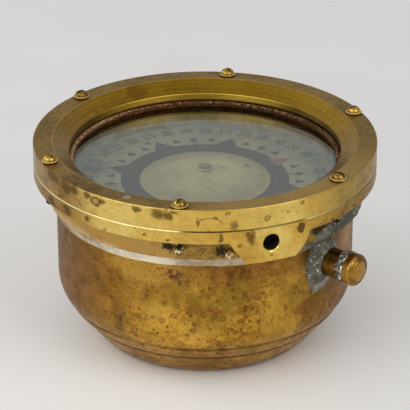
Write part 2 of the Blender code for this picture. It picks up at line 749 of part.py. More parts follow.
def card_float():
    """Card ring on the float's brim, with the float's domed lid and its dish with a well."""
    hole = FLOAT_RADIUS + SEAT_GAP
    card = [(card_radius, card_top), (card_radius, card_bottom), (hole, card_bottom), (hole, card_top)]
    piece("compass_card", turned(card, RING_SEGMENTS), CARD_PAINT, card_axis)

    dome_width = FLOAT_RADIUS - housing_hole
    radii = [housing_hole + dome_width * step / ARC_STEPS for step in range(ARC_STEPS + 1)]
    dome = [(radius, dome_height(radius)) for radius in radii]
    dome += [(radius, dome_height(radius) - FLOAT_WALL) for radius in reversed(radii)]
    piece("float_top", turned(dome, FLOAT_SEGMENTS), FLOAT_PAINT, card_axis)

    brim_top = min(card_bottom, card_top - FLOAT_WALL) - SEAT_GAP
    brim_bottom = brim_top - FLOAT_WALL
    brim_radius = FLOAT_RADIUS + FLOAT_BRIM
    base = brim_bottom - FLOAT_DEPTH
    well_outer = WELL_RADIUS + FLOAT_WALL
    well_top = dome_height(well_outer) - FLOAT_WALL - SEAT_GAP
    dish = [
        (brim_radius, brim_top),
        (brim_radius, brim_bottom),
        (FLOAT_RADIUS, brim_bottom),
        (FLOAT_BASE_RADIUS, base),
        (WELL_RADIUS, base),
        (WELL_RADIUS, well_top),
        (well_outer, well_top),
        (well_outer, base + FLOAT_WALL),
        (FLOAT_BASE_RADIUS - FLOAT_WALL, base + FLOAT_WALL),
        (FLOAT_RADIUS - FLOAT_WALL, brim_top),
    ]
    piece("float_bottom", turned(dish, FLOAT_SEGMENTS), FLOAT_PAINT, card_axis)
    return brim_radius


def jewel_and_housing():
    """Brass housing at the top of the dome and the cup jewel that rides on the needle."""
    flange_upper = housing_seat + HOUSING_FLANGE_HEIGHT
    button = flange_upper + HOUSING_BUTTON_HEIGHT
    jewel_bore = JEWEL_RADIUS + SEAT_GAP
    skirt = jewel_bottom - HOUSING_SKIRT
    housing = [
        (0.0, button),
        (HOUSING_BUTTON_RADIUS, button),
        (HOUSING_BUTTON_RADIUS, flange_upper),
        (HOUSING_FLANGE_RADIUS, flange_upper),
        (HOUSING_FLANGE_RADIUS, housing_seat),
        (HOUSING_RADIUS, housing_seat),
        (HOUSING_RADIUS, skirt),
        (jewel_bore, skirt),
        (jewel_bore, housing_seat),
        (0.0, housing_seat),
    ]
    piece("jewel_housing", turned(housing, STEM_SEGMENTS), PLAIN_BRASS, card_axis)
    jewel = [
        (0.0, jewel_top),
        (JEWEL_RADIUS, jewel_top),
        (JEWEL_RADIUS, jewel_bottom),
        (JEWEL_MOUTH, jewel_bottom),
        (0.0, jewel_bottom + JEWEL_RECESS),
    ]
    piece("jewel_cup", turned(jewel, SCREW_SEGMENTS), JEWEL, card_axis)


def magnets(brim_radius):
    """Two bar magnets slung under the card in clips, parallel to its north line."""
    hole = MAGNET_RADIUS + SEAT_GAP
    half_width = hole + CLIP_WALL
    offset = brim_radius + CLIP_FLOAT_GAP + half_width
    clip_top = card_bottom - SEAT_GAP
    height = clip_top - half_width
    half = MAGNET_LENGTH / 2
    bar = [
        (0.0, half),
        (MAGNET_RADIUS - MAGNET_CHAMFER, half),
        (MAGNET_RADIUS, half - MAGNET_CHAMFER),
        (MAGNET_RADIUS, MAGNET_CHAMFER - half),
        (MAGNET_RADIUS - MAGNET_CHAMFER, -half),
        (0.0, -half),
    ]
    bar_mesh = turned(bar, STEM_SEGMENTS)
    bar_mesh.transform(Matrix.Rotation(math.pi / 2, 4, "Y"))
    ring = arc((0.0, 0.0), half_width, math.pi, math.tau, 2 * ARC_STEPS)
    outline = ring + [(half_width, half_width), (-half_width, half_width)]
    clip_mesh = extruded(outline, CLIP_LENGTH)
    clip_mesh.transform(Matrix.Translation((0.0, 0.0, -CLIP_LENGTH / 2)))
    upright = Matrix.Rotation(math.pi / 2, 4, "Z") @ Matrix.Rotation(math.pi / 2, 4, "X")
    clip_mesh.transform(upright)
    bore = rod(hole, -CLIP_LENGTH, CLIP_LENGTH, STEM_SEGMENTS)
    bore.transform(Matrix.Rotation(math.pi / 2, 4, "Y"))
    model = piece("magnet_clip_model", clip_mesh, PLAIN_BRASS)
    bore_cutter = cutter("magnet_clip_bore", bore)
    cut(model, bore_cutter)
    clip_mesh = shaped(model)
    bpy.data.objects.remove(model)
    bpy.data.objects.remove(bore_cutter)
    count = 0
    for side, across in enumerate((-offset, offset)):
        magnet = piece(f"magnet_{side + 1}", bar_mesh, STEEL, card_axis)
        magnet.location = (0.0, across, height)
        for along in (-CLIP_SPREAD, CLIP_SPREAD):
            count += 1
            clip = piece(f"magnet_clip_{count}", clip_mesh, PLAIN_BRASS, card_axis)
            clip.location = (along, across, height)


def lubber_strip():
    """Pointed strip on the flange's inner lip, the ship's own mark beside the card."""
    length = ledge_z - card_top + LUBBER_BELOW_CARD
    half = LUBBER_WIDTH / 2
    outline = [(0.0, 0.0), (half, LUBBER_POINT), (half, length), (-half, length), (-half, LUBBER_POINT)]
    mesh = extruded(outline, LUBBER_THICKNESS)
    mesh.transform(Matrix.Rotation(math.pi / 2, 4, "X"))
    strip = piece("lubber_strip", mesh, PLAIN_BRASS)
    inner = lip_radius * math.cos(math.pi / RING_SEGMENTS) - SEAT_GAP - LUBBER_THICKNESS
    strip.location = (0.0, -inner, card_top - LUBBER_BELOW_CARD)


bowl_body()
bottom_cap()
expansion_diaphragm()
ballast_weight()
flange_ring()
seam_solder()
filler_neck()
filler_solder()
pivot_bridge()
pivot_post()
magnets(card_float())
jewel_and_housing()
lubber_strip()
lower_gasket()
cover_glass()
upper_packing()
bezel_ring()
bezel_screws()
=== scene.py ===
"""Looks of a boat compass bowl standing on a table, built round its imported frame.

Lengths are metres and +Z is up. The pieces come in the order in which the compass is put
together, from the spun bowl to the bezel screws. The table, light and camera come last.
"""

import math

import bmesh
import bpy
from mathutils import Matrix, Vector, noise


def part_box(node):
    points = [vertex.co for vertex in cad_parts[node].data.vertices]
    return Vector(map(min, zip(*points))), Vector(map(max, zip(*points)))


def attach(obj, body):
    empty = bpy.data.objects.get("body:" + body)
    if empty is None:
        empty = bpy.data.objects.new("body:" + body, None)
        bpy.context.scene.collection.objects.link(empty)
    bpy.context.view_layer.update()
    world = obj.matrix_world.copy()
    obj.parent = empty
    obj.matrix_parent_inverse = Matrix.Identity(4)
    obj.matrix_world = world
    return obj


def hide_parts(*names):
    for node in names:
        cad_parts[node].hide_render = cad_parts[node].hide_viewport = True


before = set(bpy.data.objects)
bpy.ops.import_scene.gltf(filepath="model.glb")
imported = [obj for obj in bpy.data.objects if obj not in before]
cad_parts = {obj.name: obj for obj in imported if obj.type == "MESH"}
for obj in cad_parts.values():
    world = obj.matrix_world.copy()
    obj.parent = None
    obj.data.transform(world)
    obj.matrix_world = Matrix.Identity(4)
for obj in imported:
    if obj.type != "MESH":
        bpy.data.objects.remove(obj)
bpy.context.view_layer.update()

# Bowl: a deep shell spun from sheet brass, with a round shoulder and a narrow floor ring.
# The bare metal has gone golden brown, with darker clouds, copper stains and the ringed
# spots that drops of water leave. Spinning and handling have left its side a little wavy.
MM = 0.001
BOWL_WALL = 2.0 * MM
SHOULDER_RADIUS = 18.0 * MM
CONE_LEAN = math.radians(38)
FLOOR_THICKNESS = 2.0 * MM
FLOOR_OPENING = 49.6 * MM
WAVE_SIZE = 26.0 * MM
WAVE_DEPTH = 0.22 * MM
STRAIGHT_RIM = 8.0 * MM
SIDE_STEPS = 16


class Shade:
    """One socket of a material, so that masks and heights are written as sums and products."""

    def __init__(self, tree, socket):
        self.tree = tree
        self.socket = socket

    def node(self, kind, settings=(), inputs=(), output=0):
        """A new node of this material: its settings first, then its sockets' values or links."""
        made = self.tree.nodes.new("ShaderNode" + kind)
        for name, value in dict(settings).items():
            setattr(made, name, value)
        for name, value in dict(inputs).items():
            if isinstance(value, Shade):
                self.tree.links.new(value.socket, made.inputs[name])
            else:
                made.inputs[name].default_value = value
        return Shade(self.tree, made.outputs[output])

    def also(self, output):
        """Another output of the node that this socket belongs to."""
        return Shade(self.tree, self.socket.node.outputs[output])

    def math(self, operation, *values):
        """A Math node on these sockets and numbers."""
        return self.node("Math", {"operation": operation}, enumerate(values))

    def vector(self, operation, *values, output=0, **inputs):
        """A Vector Math node on these sockets and vectors."""
        inputs.update(enumerate(values))
        return self.node("VectorMath", {"operation": operation}, inputs, output)

    def axis(self, name):
        """One coordinate of this place: X, Y or Z."""
        return self.node("SeparateXYZ", {}, {0: self}, name)

    def __add__(self, other):
        return self.math("ADD", self, other)

    def __radd__(self, other):
        return self.math("ADD", other, self)

    def __sub__(self, other):
        return self.math("SUBTRACT", self, other)

    def __rsub__(self, other):
        return self.math("SUBTRACT", other, self)

    def __mul__(self, other):
        return self.math("MULTIPLY", self, other)

    def __rmul__(self, other):
        return self.math("MULTIPLY", other, self)

    def __truediv__(self, other):
        return self.math("DIVIDE", self, other)

    def __rtruediv__(self, other):
        return self.math("DIVIDE", other, self)

    def __abs__(self):
        return self.math("ABSOLUTE", self)

    def between(self, low, high):
        """A mask that runs smoothly from 0 at low to 1 at high, whichever is the larger."""
        inputs = {"Value": self, "From Min": low, "From Max": high}
        return self.node("MapRange", {"interpolation_type": "SMOOTHSTEP"}, inputs)

    def mix(self, under, over):
        """The colour under where this mask is 0, and over where it is 1."""
        return self.node("Mix", {"data_type": "RGBA"}, {0: self, 6: under, 7: over}, output=2)

    def feed(self, shader, name):
        """Links this socket to a socket of the shader."""
        self.tree.links.new(self.socket, shader.inputs[name])

    def raise_skin(self, shader, height):
        """Feeds this height, times the given metres, to the shader's normal."""
        inputs = {"Strength": 1.0, "Distance": height, "Height": self}
        self.node("Bump", {}, inputs).feed(shader, "Normal")


def finish(name, constants=()):
    """A new material, its shader with these constants set, and the place on the piece in metres."""
    material = bpy.data.materials.new(name)
    material.use_nodes = True
    shader = material.node_tree.nodes["Principled BSDF"]
    for socket, value in dict(constants).items():
        shader.inputs[socket].default_value = value
    place = material.node_tree.nodes.new("ShaderNodeTexCoord").outputs["Object"]
    return material, shader, Shade(material.node_tree, place)


def tone(red, green, blue):
    """A colour from its 0 to 255 display values."""
    colour = []
    for share in (red / 255, green / 255, blue / 255):
        colour.append(share / 12.92 if share < 0.04045 else ((share + 0.055) / 1.055) ** 2.4)
    return colour + [1.0]


def cloud(place, size, detail=3.0, rough=0.55):
    """Soft noise around one half, with features of the given size."""
    inputs = {"Vector": place, "Scale": 1 / size, "Detail": detail, "Roughness": rough}
    return place.node("TexNoise", {}, inputs)


def moved(place, offset):
    """The place shifted, so that the same noise gives another pattern."""
    return place.vector("ADD", place, offset)


def ragged(place, size, amount):
    """The place pushed about by noise, for edges that aren't smooth."""
    push = cloud(place, size, 2.0).also(1)
    push = push.vector("SUBTRACT", push, (0.5, 0.5, 0.5))
    push = push.vector("SCALE", push, Scale=amount)
    return push.vector("ADD", place, push)


def along(place, direction):
    """How far the place lies in this direction."""
    return place.vector("DOT_PRODUCT", place, direction, output="Value")


def from_axis(place):
    """Distance of the place from the compass's upright axis."""
    level = place.vector("MULTIPLY", place, (1.0, 1.0, 0.0))
    return level.vector("LENGTH", level, output="Value")


def spot_at(radius, turn, height):
    """The point at this radius, turn and height."""
    return radius * math.cos(turn), radius * math.sin(turn), height


def spots(place, spacing, reach, share):
    """Round spots of unlike size, up to the reach in spacings: their mask and that of their rims."""
    cell = place.node("TexVoronoi", {}, {"Vector": place, "Scale": 1 / spacing})
    lot = cell.node("SeparateColor", {}, {0: cell.also(1)})
    chosen = lot.between(share, share * 0.9)
    spread = cell / (reach * (0.35 + 0.65 * lot.also(1)))
    mask = chosen * spread.between(1.15, 0.7)
    rim = mask * spread.between(0.35, 0.8)
    return mask, rim


def stain(place, azimuth, radius, height, reach, tall=1.0):
    """One placed mark on an upright wall: its distance from the centre, 1 at the edge."""
    off = place.vector("SUBTRACT", place, spot_at(radius, math.radians(azimuth), height))
    off = off.vector("MULTIPLY", off, (1 / reach, 1 / reach, 1 / (reach * tall)))
    return off.vector("LENGTH", off, output="Value")


def nearest(place, radius, marks):
    """Distance from the nearest of some marks on a wall, 1 at its edge.

    A mark has its azimuth in degrees, its height and reach in mm, and its height over its width.
    """
    found = None
    for azimuth, height, reach, tall in marks:
        away = stain(place, azimuth, radius, height * MM, reach * MM, tall)
        found = found.math("MINIMUM", found, away) if found else away
    return found


def dried(away):
    """Mask of a dried drop, darkest at its rim."""
    return away.between(1.25, 0.85) * (0.4 + 0.55 * away.between(0.45, 0.95))


def side_shade_mask(place, start, end):
    """Mask of painted shade on the two sides, left and right of the middle, between two distances from it.
    """
    aside = along(place, SHADED_SIDES)
    return (aside * aside).between(start * start, end * end)


def arc(centre, radius, start, end, steps):
    """Points on a circular arc of a profile, both ends included, angles from straight out."""
    turns = [start + (end - start) * step / steps for step in range(steps + 1)]
    return [(centre[0] + radius * math.cos(turn), centre[1] + radius * math.sin(turn)) for turn in turns]


def lofted(shape, rows, closed=True):
    """Adds a skin over rows of points, run on to the first row again or shut at both ends."""
    rings = [[shape.verts.new(point) for point in row] for row in rows]
    followers = rings[1:] + rings[:1] if closed else rings[1:]
    for ring, following in zip(rings, followers):
        for index in range(len(ring)):
            after = (index + 1) % len(ring)
            shape.faces.new((ring[index], following[index], following[after], ring[after]))
    if not closed:
        shape.faces.new(rings[0])
        shape.faces.new(rings[-1])


def turned(outline, segments=256):
    """Shape turned about the upright axis from a closed outline of (radius, height) points.

    The outline may be a function of the turn, for what isn't quite round.
    """
    shape = bmesh.new()
    rows = []
    for step in range(segments):
        turn = math.tau * step / segments
        points = outline(turn) if callable(outline) else outline
        rows.append([spot_at(radius, turn, height) for radius, height in points])
    lofted(shape, rows)
    bmesh.ops.remove_doubles(shape, verts=shape.verts, dist=1e-7)
    return shape


def settled(name, shape, material, body="bowl", nodes=()):
    """The finished piece: smooth faces, its material, and its place in the frame."""
    bmesh.ops.recalc_face_normals(shape, faces=shape.faces)
    mesh = bpy.data.meshes.new(name)
    shape.to_mesh(mesh)
    shape.free()
    mesh.shade_smooth()
    mesh.set_sharp_from_angle(angle=math.radians(50))
    mesh.materials.append(material)
    piece = bpy.data.objects.new(name, mesh)
    bpy.context.scene.collection.objects.link(piece)
    weigh = piece.modifiers.new("flat_faces_first", "WEIGHTED_NORMAL")
    weigh.keep_sharp = True
    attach(piece, body)
    if nodes:
        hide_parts(*nodes)
    return piece


bowl_low, bowl_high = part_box("bowl_body")
bowl_radius = bowl_high.x
shoulder = (bowl_radius - SHOULDER_RADIUS, bowl_low.z + SHOULDER_RADIUS * math.sin(CONE_LEAN))
inner_shoulder = SHOULDER_RADIUS - BOWL_WALL
bowl_floor = bowl_low.z + FLOOR_THICKNESS
inner_lean = math.asin((shoulder[1] - bowl_floor) / inner_shoulder)
side_drop = (bowl_high.z - shoulder[1]) / SIDE_STEPS
bowl_side = [(bowl_radius, bowl_high.z - side_drop * step) for step in range(SIDE_STEPS)]
bowl_outline = bowl_side + arc(shoulder, SHOULDER_RADIUS, 0.0, -CONE_LEAN, 12)
bowl_outline += [(FLOOR_OPENING, bowl_low.z), (FLOOR_OPENING, bowl_floor)]
bowl_outline += arc(shoulder, inner_shoulder, -inner_lean, 0.0, 8)
bowl_outline += [(bowl_radius - BOWL_WALL, bowl_high.z)]


def wavy_bowl(turn):
    """The bowl's outline at this turn, its outside pressed in a little here and there."""
    points = []
    for radius, height in bowl_outline:
        if radius > bowl_radius - SHOULDER_RADIUS / 2 and height < bowl_high.z - STRAIGHT_RIM:
            spot = Vector(spot_at(radius, turn, height))
            radius -= WAVE_DEPTH * (0.5 + 0.5 * noise.noise(spot / WAVE_SIZE))
        points.append((radius, height))
    return points


GOLD = tone(210, 161, 64)
BARE_GOLD = tone(238, 188, 88)
GOLDEN_BROWN = tone(148, 104, 38)
OLIVE_GOLD = tone(152, 120, 44)
DARK_BROWN = tone(106, 68, 30)
COPPER_STAIN = tone(146, 88, 48)
PLUM_STAIN = tone(112, 68, 50)
SALMON = tone(208, 154, 102)
GROOVE_DIRT_AND_SHADE = tone(72, 50, 20)
# Across the compass to the two sides that get painted shade.
SHADED_SIDES = Vector((0.93, -0.37, 0.0))
INSIDE_PAINT = tone(226, 226, 208)
INSIDE_STAIN = tone(186, 178, 150)
INSIDE_FROM = 30.0 * MM
BOWL_PLUM = [
    (-123.5, 56.8, 5.0, 0.6), (-119.5, 53.9, 3.4, 0.8), (-145.7, 29.7, 3.4, 1.6), (-66.5, 58.5, 3.4, 1.4),
]
BOWL_COPPER = [(-111.5, 40.6, 5.0, 0.5), (-106.8, 38.6, 2.4, 0.9), (-116.5, 42.0, 2.2, 0.7)]
BOWL_BROWN = [(-98.0, 64.0, 17.0, 0.6), (-70.0, 30.0, 6.0, 1.6), (-46.0, 36.0, 14.0, 1.0)]
TARNISH_HEIGHT = 54.0 * MM
TARNISH_BEND = -31.0 * MM
TARNISH_FALL = 5.6
BOWL_SALMON = [(-43.0, 57.0, 9.0, 0.9)]
BOWL_HALO = [(-60.0, 52.5, 18.0, 1.2)]
BOWL_GILDED = [(-134.0, 58.0, 19.0, 0.42), (-128.0, 37.0, 9.0, 0.75), (-116.0, 28.0, 9.0, 0.7)]
BOWL_DROPS = [
    (-102.4, 53.4, 1.4, 1.0), (-96.8, 46.7, 1.1, 1.5), (-96.2, 40.8, 1.2, 1.0), (-75.7, 45.8, 0.9, 1.0),
    (-70.3, 29.9, 1.6, 1.3), (-112.2, 38.7, 1.3, 1.0), (-108.2, 37.6, 1.4, 1.0), (-104.8, 36.3, 1.2, 1.2),
    (-103.9, 31.3, 1.0, 1.0), (-127.7, 34.4, 1.3, 1.1), (-123.6, 37.4, 1.2, 1.0), (-115.9, 31.0, 1.4, 1.0),
    (-139.1, 27.0, 1.5, 1.7), (-131.6, 27.1, 1.1, 1.0), (-136.9, 34.8, 1.2, 1.3), (-126.8, 42.8, 1.1, 1.0),
]


def patina(name, grooves, dirt_and_shade):
    """Golden-brown patina of bowl and bottom cap, dark in the grooves, painted shade at the sides, pale
    paint inside.
    """
    material, shader, place = finish(name)
    x = place.axis("X")
    height = place.axis("Z")
    rough_place = ragged(place, 2.5 * MM, 2.4 * MM)
    middle = cloud(place, 7 * MM, 5.0, 0.65)
    small = cloud(moved(place, (0.3, 0.1, 0.7)), 2.4 * MM, 4.0, 0.65)
    fine = cloud(place, 1.0 * MM, 4.0, 0.7)
    bare = 0.25 * cloud(place, 26 * MM, 3.0) + 0.25 * middle + 0.3 * small + 0.2 * fine
    bare = bare.between(0.43, 0.57)
    colour = bare.mix(GOLDEN_BROWN, GOLD)
    olive = cloud(moved(place, (0.2, 0.9, 0.3)), 22 * MM, 4.0).between(0.46, 0.62)
    colour = (0.6 * olive).mix(colour, OLIVE_GOLD)
    # Painted shade: the two sides are browner.
    side_shade = side_shade_mask(place, 0.45 * bowl_radius, 0.95 * bowl_radius)
    colour = (side_shade * (0.38 + 0.55 * middle)).mix(colour, DARK_BROWN)
    copper = cloud(moved(rough_place, (0.7, 0.4, 0.2)), 15 * MM, 5.0, 0.7).between(0.56, 0.66)
    torn = ragged(rough_place, 6 * MM, 6 * MM)
    placed = nearest(torn, bowl_radius, BOWL_COPPER).between(1.3, 0.5)
    copper = 0.3 * copper + (0.1 + 0.8 * small.between(0.42, 0.58)) * placed
    colour = copper.mix(colour, COPPER_STAIN)
    reddened = middle.between(0.45, 0.6).mix(DARK_BROWN, COPPER_STAIN)
    fallen = x.math("MAXIMUM", TARNISH_BEND - x, 0.0)
    line = TARNISH_HEIGHT - TARNISH_FALL * fallen.math("POWER", fallen, 1.5)
    jagged = height + 18 * MM * middle + 8 * MM * small - 13 * MM
    tarnish = (jagged - line).between(-1.2 * MM, 1.2 * MM) * (0.25 + 0.75 * small.between(0.4, 0.6))
    colour = (0.5 * tarnish).mix(colour, reddened)
    brown = nearest(torn, bowl_radius, BOWL_BROWN).between(1.08, 0.84)
    colour = (brown * (0.1 + 0.7 * small.between(0.42, 0.6))).mix(colour, reddened)
    gilded = nearest(torn, bowl_radius, BOWL_GILDED).between(1.2, 0.5)
    colour = (gilded * (0.15 + 0.5 * small)).mix(colour, BARE_GOLD)
    plum = nearest(torn, bowl_radius, BOWL_PLUM).between(1.3, 0.5)
    colour = (plum * (0.15 + 0.85 * small.between(0.42, 0.58))).mix(colour, PLUM_STAIN)
    # The salmon patch high on the right is partly a copper tint and partly a painted highlight.
    salmon = nearest(ragged(place, 5 * MM, 5 * MM), bowl_radius, BOWL_SALMON).between(1.2, 0.4)
    colour = (0.45 * salmon).mix(colour, SALMON)
    spotted = cloud(moved(place, (0.1, 0.6, 0.5)), 24 * MM, 2.0).between(0.34, 0.5)
    mask, rim = spots(ragged(place, 1.2 * MM, 0.7 * MM), 3.4 * MM, 0.36, 0.8)
    colour = (spotted * (0.5 * mask + 0.3 * rim)).mix(colour, DARK_BROWN)
    little, _ = spots(moved(rough_place, (0.5, 0.2, 0.1)), 2.0 * MM, 0.3, 0.7)
    colour = (0.42 * little).mix(colour, DARK_BROWN)
    specks = cloud(moved(place, (0.4, 0.4, 0.8)), 0.9 * MM, 3.0, 0.7).between(0.52, 0.64)
    colour = (specks * (0.35 + 0.35 * tarnish)).mix(colour, DARK_BROWN)
    drops = nearest(ragged(place, 1.2 * MM, 1.0 * MM), bowl_radius, BOWL_DROPS)
    drops = dried(drops + 0.9 * fine - 0.45)
    colour = (0.7 * drops).mix(colour, DARK_BROWN)
    # A dark halo round the solder patch at the filler.
    halo = nearest(rough_place, bowl_radius, BOWL_HALO).between(1.15, 0.7)
    colour = (0.5 * halo * (0.4 + 0.6 * middle)).mix(colour, GROOVE_DIRT_AND_SHADE)
    # The share passed in is even painted shade over the whole piece; the grooves add dark patina to it.
    for groove in grooves:
        dirt_and_shade = dirt_and_shade + 0.5 * abs(height - groove).between(1.5 * MM, 0.3 * MM)
    soiled_and_shaded = dirt_and_shade * (0.7 + 0.6 * middle)
    colour = soiled_and_shaded.mix(colour, GROOVE_DIRT_AND_SHADE)
    dull = 0.27 + 0.12 * (1 - bare) + 0.12 * side_shade + 0.08 * mask + 0.3 * soiled_and_shaded
    inside = from_axis(place).between(bowl_radius - 0.8 * MM, bowl_radius - 1.2 * MM)
    inside = inside * height.between(INSIDE_FROM, INSIDE_FROM + 2 * MM)
    paint = cloud(place, 9 * MM, 5.0, 0.6).between(0.45, 0.65).mix(INSIDE_PAINT, INSIDE_STAIN)
    inside.mix(colour, paint).feed(shader, "Base Color")
    (1.0 - inside).feed(shader, "Metallic")
    (dull + inside * (0.6 - dull)).feed(shader, "Roughness")
    skin = 0.5 * middle + 0.25 * fine - 0.25 * spotted * mask - 0.15 * little - 0.3 * drops
    skin.raise_skin(shader, 0.05 * MM)
    return material


bowl_patina = patina("bowl_patina", [bowl_low.z], 0.0)
settled("spun_bowl", turned(wavy_bowl), bowl_patina, nodes=["bowl_body"])

# Bottom cap: a second spinning in the same brass, pressed up under the bowl's floor. Two turned
# grooves leave a raised bead between them, and the cone below runs into a rounded flat foot.
BEAD_HEIGHT = 6.6 * MM
BEAD_PROUD = 0.5 * MM
BEAD_STEPS = 10
GROOVE_DEPTH = 0.8 * MM
GROOVE_WIDTH = 0.9 * MM
FOOT_ROUND = 10.0 * MM
CAP_WALL = 1.8 * MM
VENT_RADIUS = 1.5 * MM

cap_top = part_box("bottom_cap")[1].z
groove_z = cap_top - BEAD_HEIGHT


def cone_radius(height):
    """Outer radius of the cone that runs on from the bowl's shoulder."""
    joint_radius = shoulder[0] + SHOULDER_RADIUS * math.cos(CONE_LEAN)
    return joint_radius - (bowl_low.z - height) * math.tan(CONE_LEAN)


cap_outline = [(cone_radius(cap_top) - GROOVE_DEPTH, cap_top)]
for step in range(1, BEAD_STEPS):
    share = step / BEAD_STEPS
    bead_z = cap_top - BEAD_HEIGHT * share
    cap_outline.append((cone_radius(bead_z) + BEAD_PROUD * math.sin(math.pi * share), bead_z))
cap_outline.append((cone_radius(groove_z) - GROOVE_DEPTH, groove_z))
cap_outline.append((cone_radius(groove_z - GROOVE_WIDTH), groove_z - GROOVE_WIDTH))
foot_corner = (math.pi / 2 - CONE_LEAN) / 2
foot_centre = (cone_radius(0.0) - FOOT_ROUND * math.tan(foot_corner), FOOT_ROUND)
cap_outline += arc(foot_centre, FOOT_ROUND, -CONE_LEAN, -math.pi / 2, 10)
cap_inner = CAP_WALL / math.cos(CONE_LEAN)
cap_outline += [
    (VENT_RADIUS, 0.0),
    (VENT_RADIUS, CAP_WALL),
    (cone_radius(CAP_WALL) - cap_inner, CAP_WALL),
    (cone_radius(cap_top) - cap_inner, cap_top),
]
# The cap gets a little even painted shade all over, for its place low under the bowl.
cap_patina = patina("cap_patina", [cap_top, groove_z], 0.06)
settled("spun_bottom_cap", turned(cap_outline), cap_patina, nodes=["bottom_cap"])

# Inner metalwork: the diaphragm that gives as the liquid swells, the bridge on the floor of the
# bowl with its screws, the post, and under the card the clips. All are plain turned or bent
# brass, long under liquid and so a dull even brown.
DULL_BRASS = tone(150, 118, 62)
SUNK_BRASS = tone(96, 74, 42)


def dressed(material, *names):
    """Gives CAD nodes that keep their shape a new material."""
    for name in names:
        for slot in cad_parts[name].material_slots:
            slot.material = material


def mottled(name, metallic, under, over, patch, limits, dull, grain, depth):
    """A finish with patches of a second colour, duller than the first, and a fine grain.

    Patch and grain are noises, limits are where the patches begin and end, dull is the roughness of
    the first colour and what the patches add to it, and depth is that of the grain.
    """
    material, shader, place = finish(name, {"Metallic": metallic})
    patches = cloud(place, *patch).between(*limits)
    patches.mix(under, over).feed(shader, "Base Color")
    (dull[0] + dull[1] * patches).feed(shader, "Roughness")
    cloud(place, *grain).raise_skin(shader, depth)
    return material


dull_brass = mottled(
    "inner_brass", 1.0, DULL_BRASS, SUNK_BRASS, patch=(5 * MM, 4.0), limits=(0.4, 0.62),
    dull=(0.35, 0.2), grain=(0.6 * MM, 2.0), depth=0.02 * MM,
)
dressed(dull_brass, "expansion_diaphragm", "pivot_bridge", "bridge_screw_1", "bridge_screw_2", "pivot_post")
dressed(dull_brass, "magnet_clip_1", "magnet_clip_2", "magnet_clip_3", "magnet_clip_4", "lubber_strip")

# Ballast: a ring of lead cast to lie in the bottom cap and keep the bowl level.
# Lead goes dull grey with a whitish bloom, and the casting is a little pitted.
LEAD_GREY = tone(104, 106, 110)
LEAD_BLOOM = tone(150, 150, 148)

cast_lead = mottled(
    "cast_lead", 0.7, LEAD_GREY, LEAD_BLOOM, patch=(6 * MM, 5.0), limits=(0.45, 0.65),
    dull=(0.5, 0.25), grain=(1.5 * MM, 4.0), depth=0.1 * MM,
)
dressed(cast_lead, "ballast_weight")

# Flange: one brass casting soldered over the bowl's rim. It has a seat for the glass, a collar,
# and two lugs flush with its edge, drilled for the gimbal pivots. The turned edge is bright, worn
# and spotted brown, with painted highlights at the left, the front and along the joint; the collar
# under it is left as cast, dark and pitted, with painted shade in its hollows.
FLANGE_THICKNESS = 5.8 * MM
COLLAR_WALL = 2.9 * MM
COLLAR_BORE = 66.7 * MM
LIP_RADIUS = 61.5 * MM
LIP_THICKNESS = 2.0 * MM
REBATE_RADIUS = 66.3 * MM
REBATE_DEPTH = 7.05 * MM
LUG_TOP_WIDTH = 36.6 * MM
LUG_BOTTOM_WIDTH = 23.0 * MM
LUG_SWELL = 1.4 * MM
PIVOT_RADIUS = 3.7 * MM
PIVOT_DEPTH = 7.5 * MM
PIVOT_DROP = 1.8 * MM
PIVOT_CHAMFER = 0.5 * MM
SCREW_CIRCLE = 72.3 * MM
SCREW_HOLE_RADIUS = 2.3 * MM
EDGE_WEAR = 0.35 * MM
BEZEL_SCREWS = 6
CHAMFER_TALL = 0.5 * MM
CHAMFER_DEEP = 0.22 * MM

flange_low, flange_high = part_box("flange_ring")
rim_radius = flange_high.x
flange_bottom = flange_high.z - FLANGE_THICKNESS
collar_radius = COLLAR_BORE + COLLAR_WALL
ledge_z = flange_high.z - REBATE_DEPTH


def lug_half(level, swell):
    """Half width of a lug at this share of its depth, its side bulging by the swell."""
    width = LUG_TOP_WIDTH + (LUG_BOTTOM_WIDTH - LUG_TOP_WIDTH) * level
    return width / 2 + swell * max(4 * level * (1 - level), 0.0)


def lug_gap(centre):
    """Cutter for the skirt between the lugs, its ends shaped as the lugs' sides."""
    depth = flange_bottom - flange_low.z
    radii = (collar_radius, rim_radius + 3 * MM)
    levels = [0.0, 0.2, 0.4, 0.6, 0.8, 1.0, 1.3]
    steps = 127
    shape = bmesh.new()
    rows = []
    for step in range(steps + 1):
        share = 2 * step / steps - 1
        row = []
        for level in levels:
            swell = LUG_SWELL if share < 0 else 0.0
            half = math.pi / 2 - math.asin(lug_half(level, swell) / rim_radius)
            turn = centre + half * share
            height = flange_bottom - depth * level
            row.append([shape.verts.new(spot_at(radius, turn, height)) for radius in radii])
        rows.append(row)
    for row, following in zip(rows, rows[1:]):
        for end in (0, -1):
            shape.faces.new((row[end][0], row[end][1], following[end][1], following[end][0]))
        for side in (0, 1):
            here = [pair[side] for pair in row]
            beyond = [pair[side] for pair in following]
            for top in range(len(levels) - 1):
                shape.faces.new((here[top], here[top + 1], beyond[top + 1], beyond[top]))
    for row in (rows[0], rows[-1]):
        for upper, lower in zip(row, row[1:]):
            shape.faces.new((upper[0], upper[1], lower[1], lower[0]))
    return shape


def level_axis(azimuth, height):
    """Matrix that lays local +Z along the level radius at this azimuth."""
    lie = Matrix.Rotation(azimuth, 4, "Z") @ Matrix.Rotation(math.pi / 2, 4, "Y")
    return Matrix.Translation((0.0, 0.0, height)) @ lie


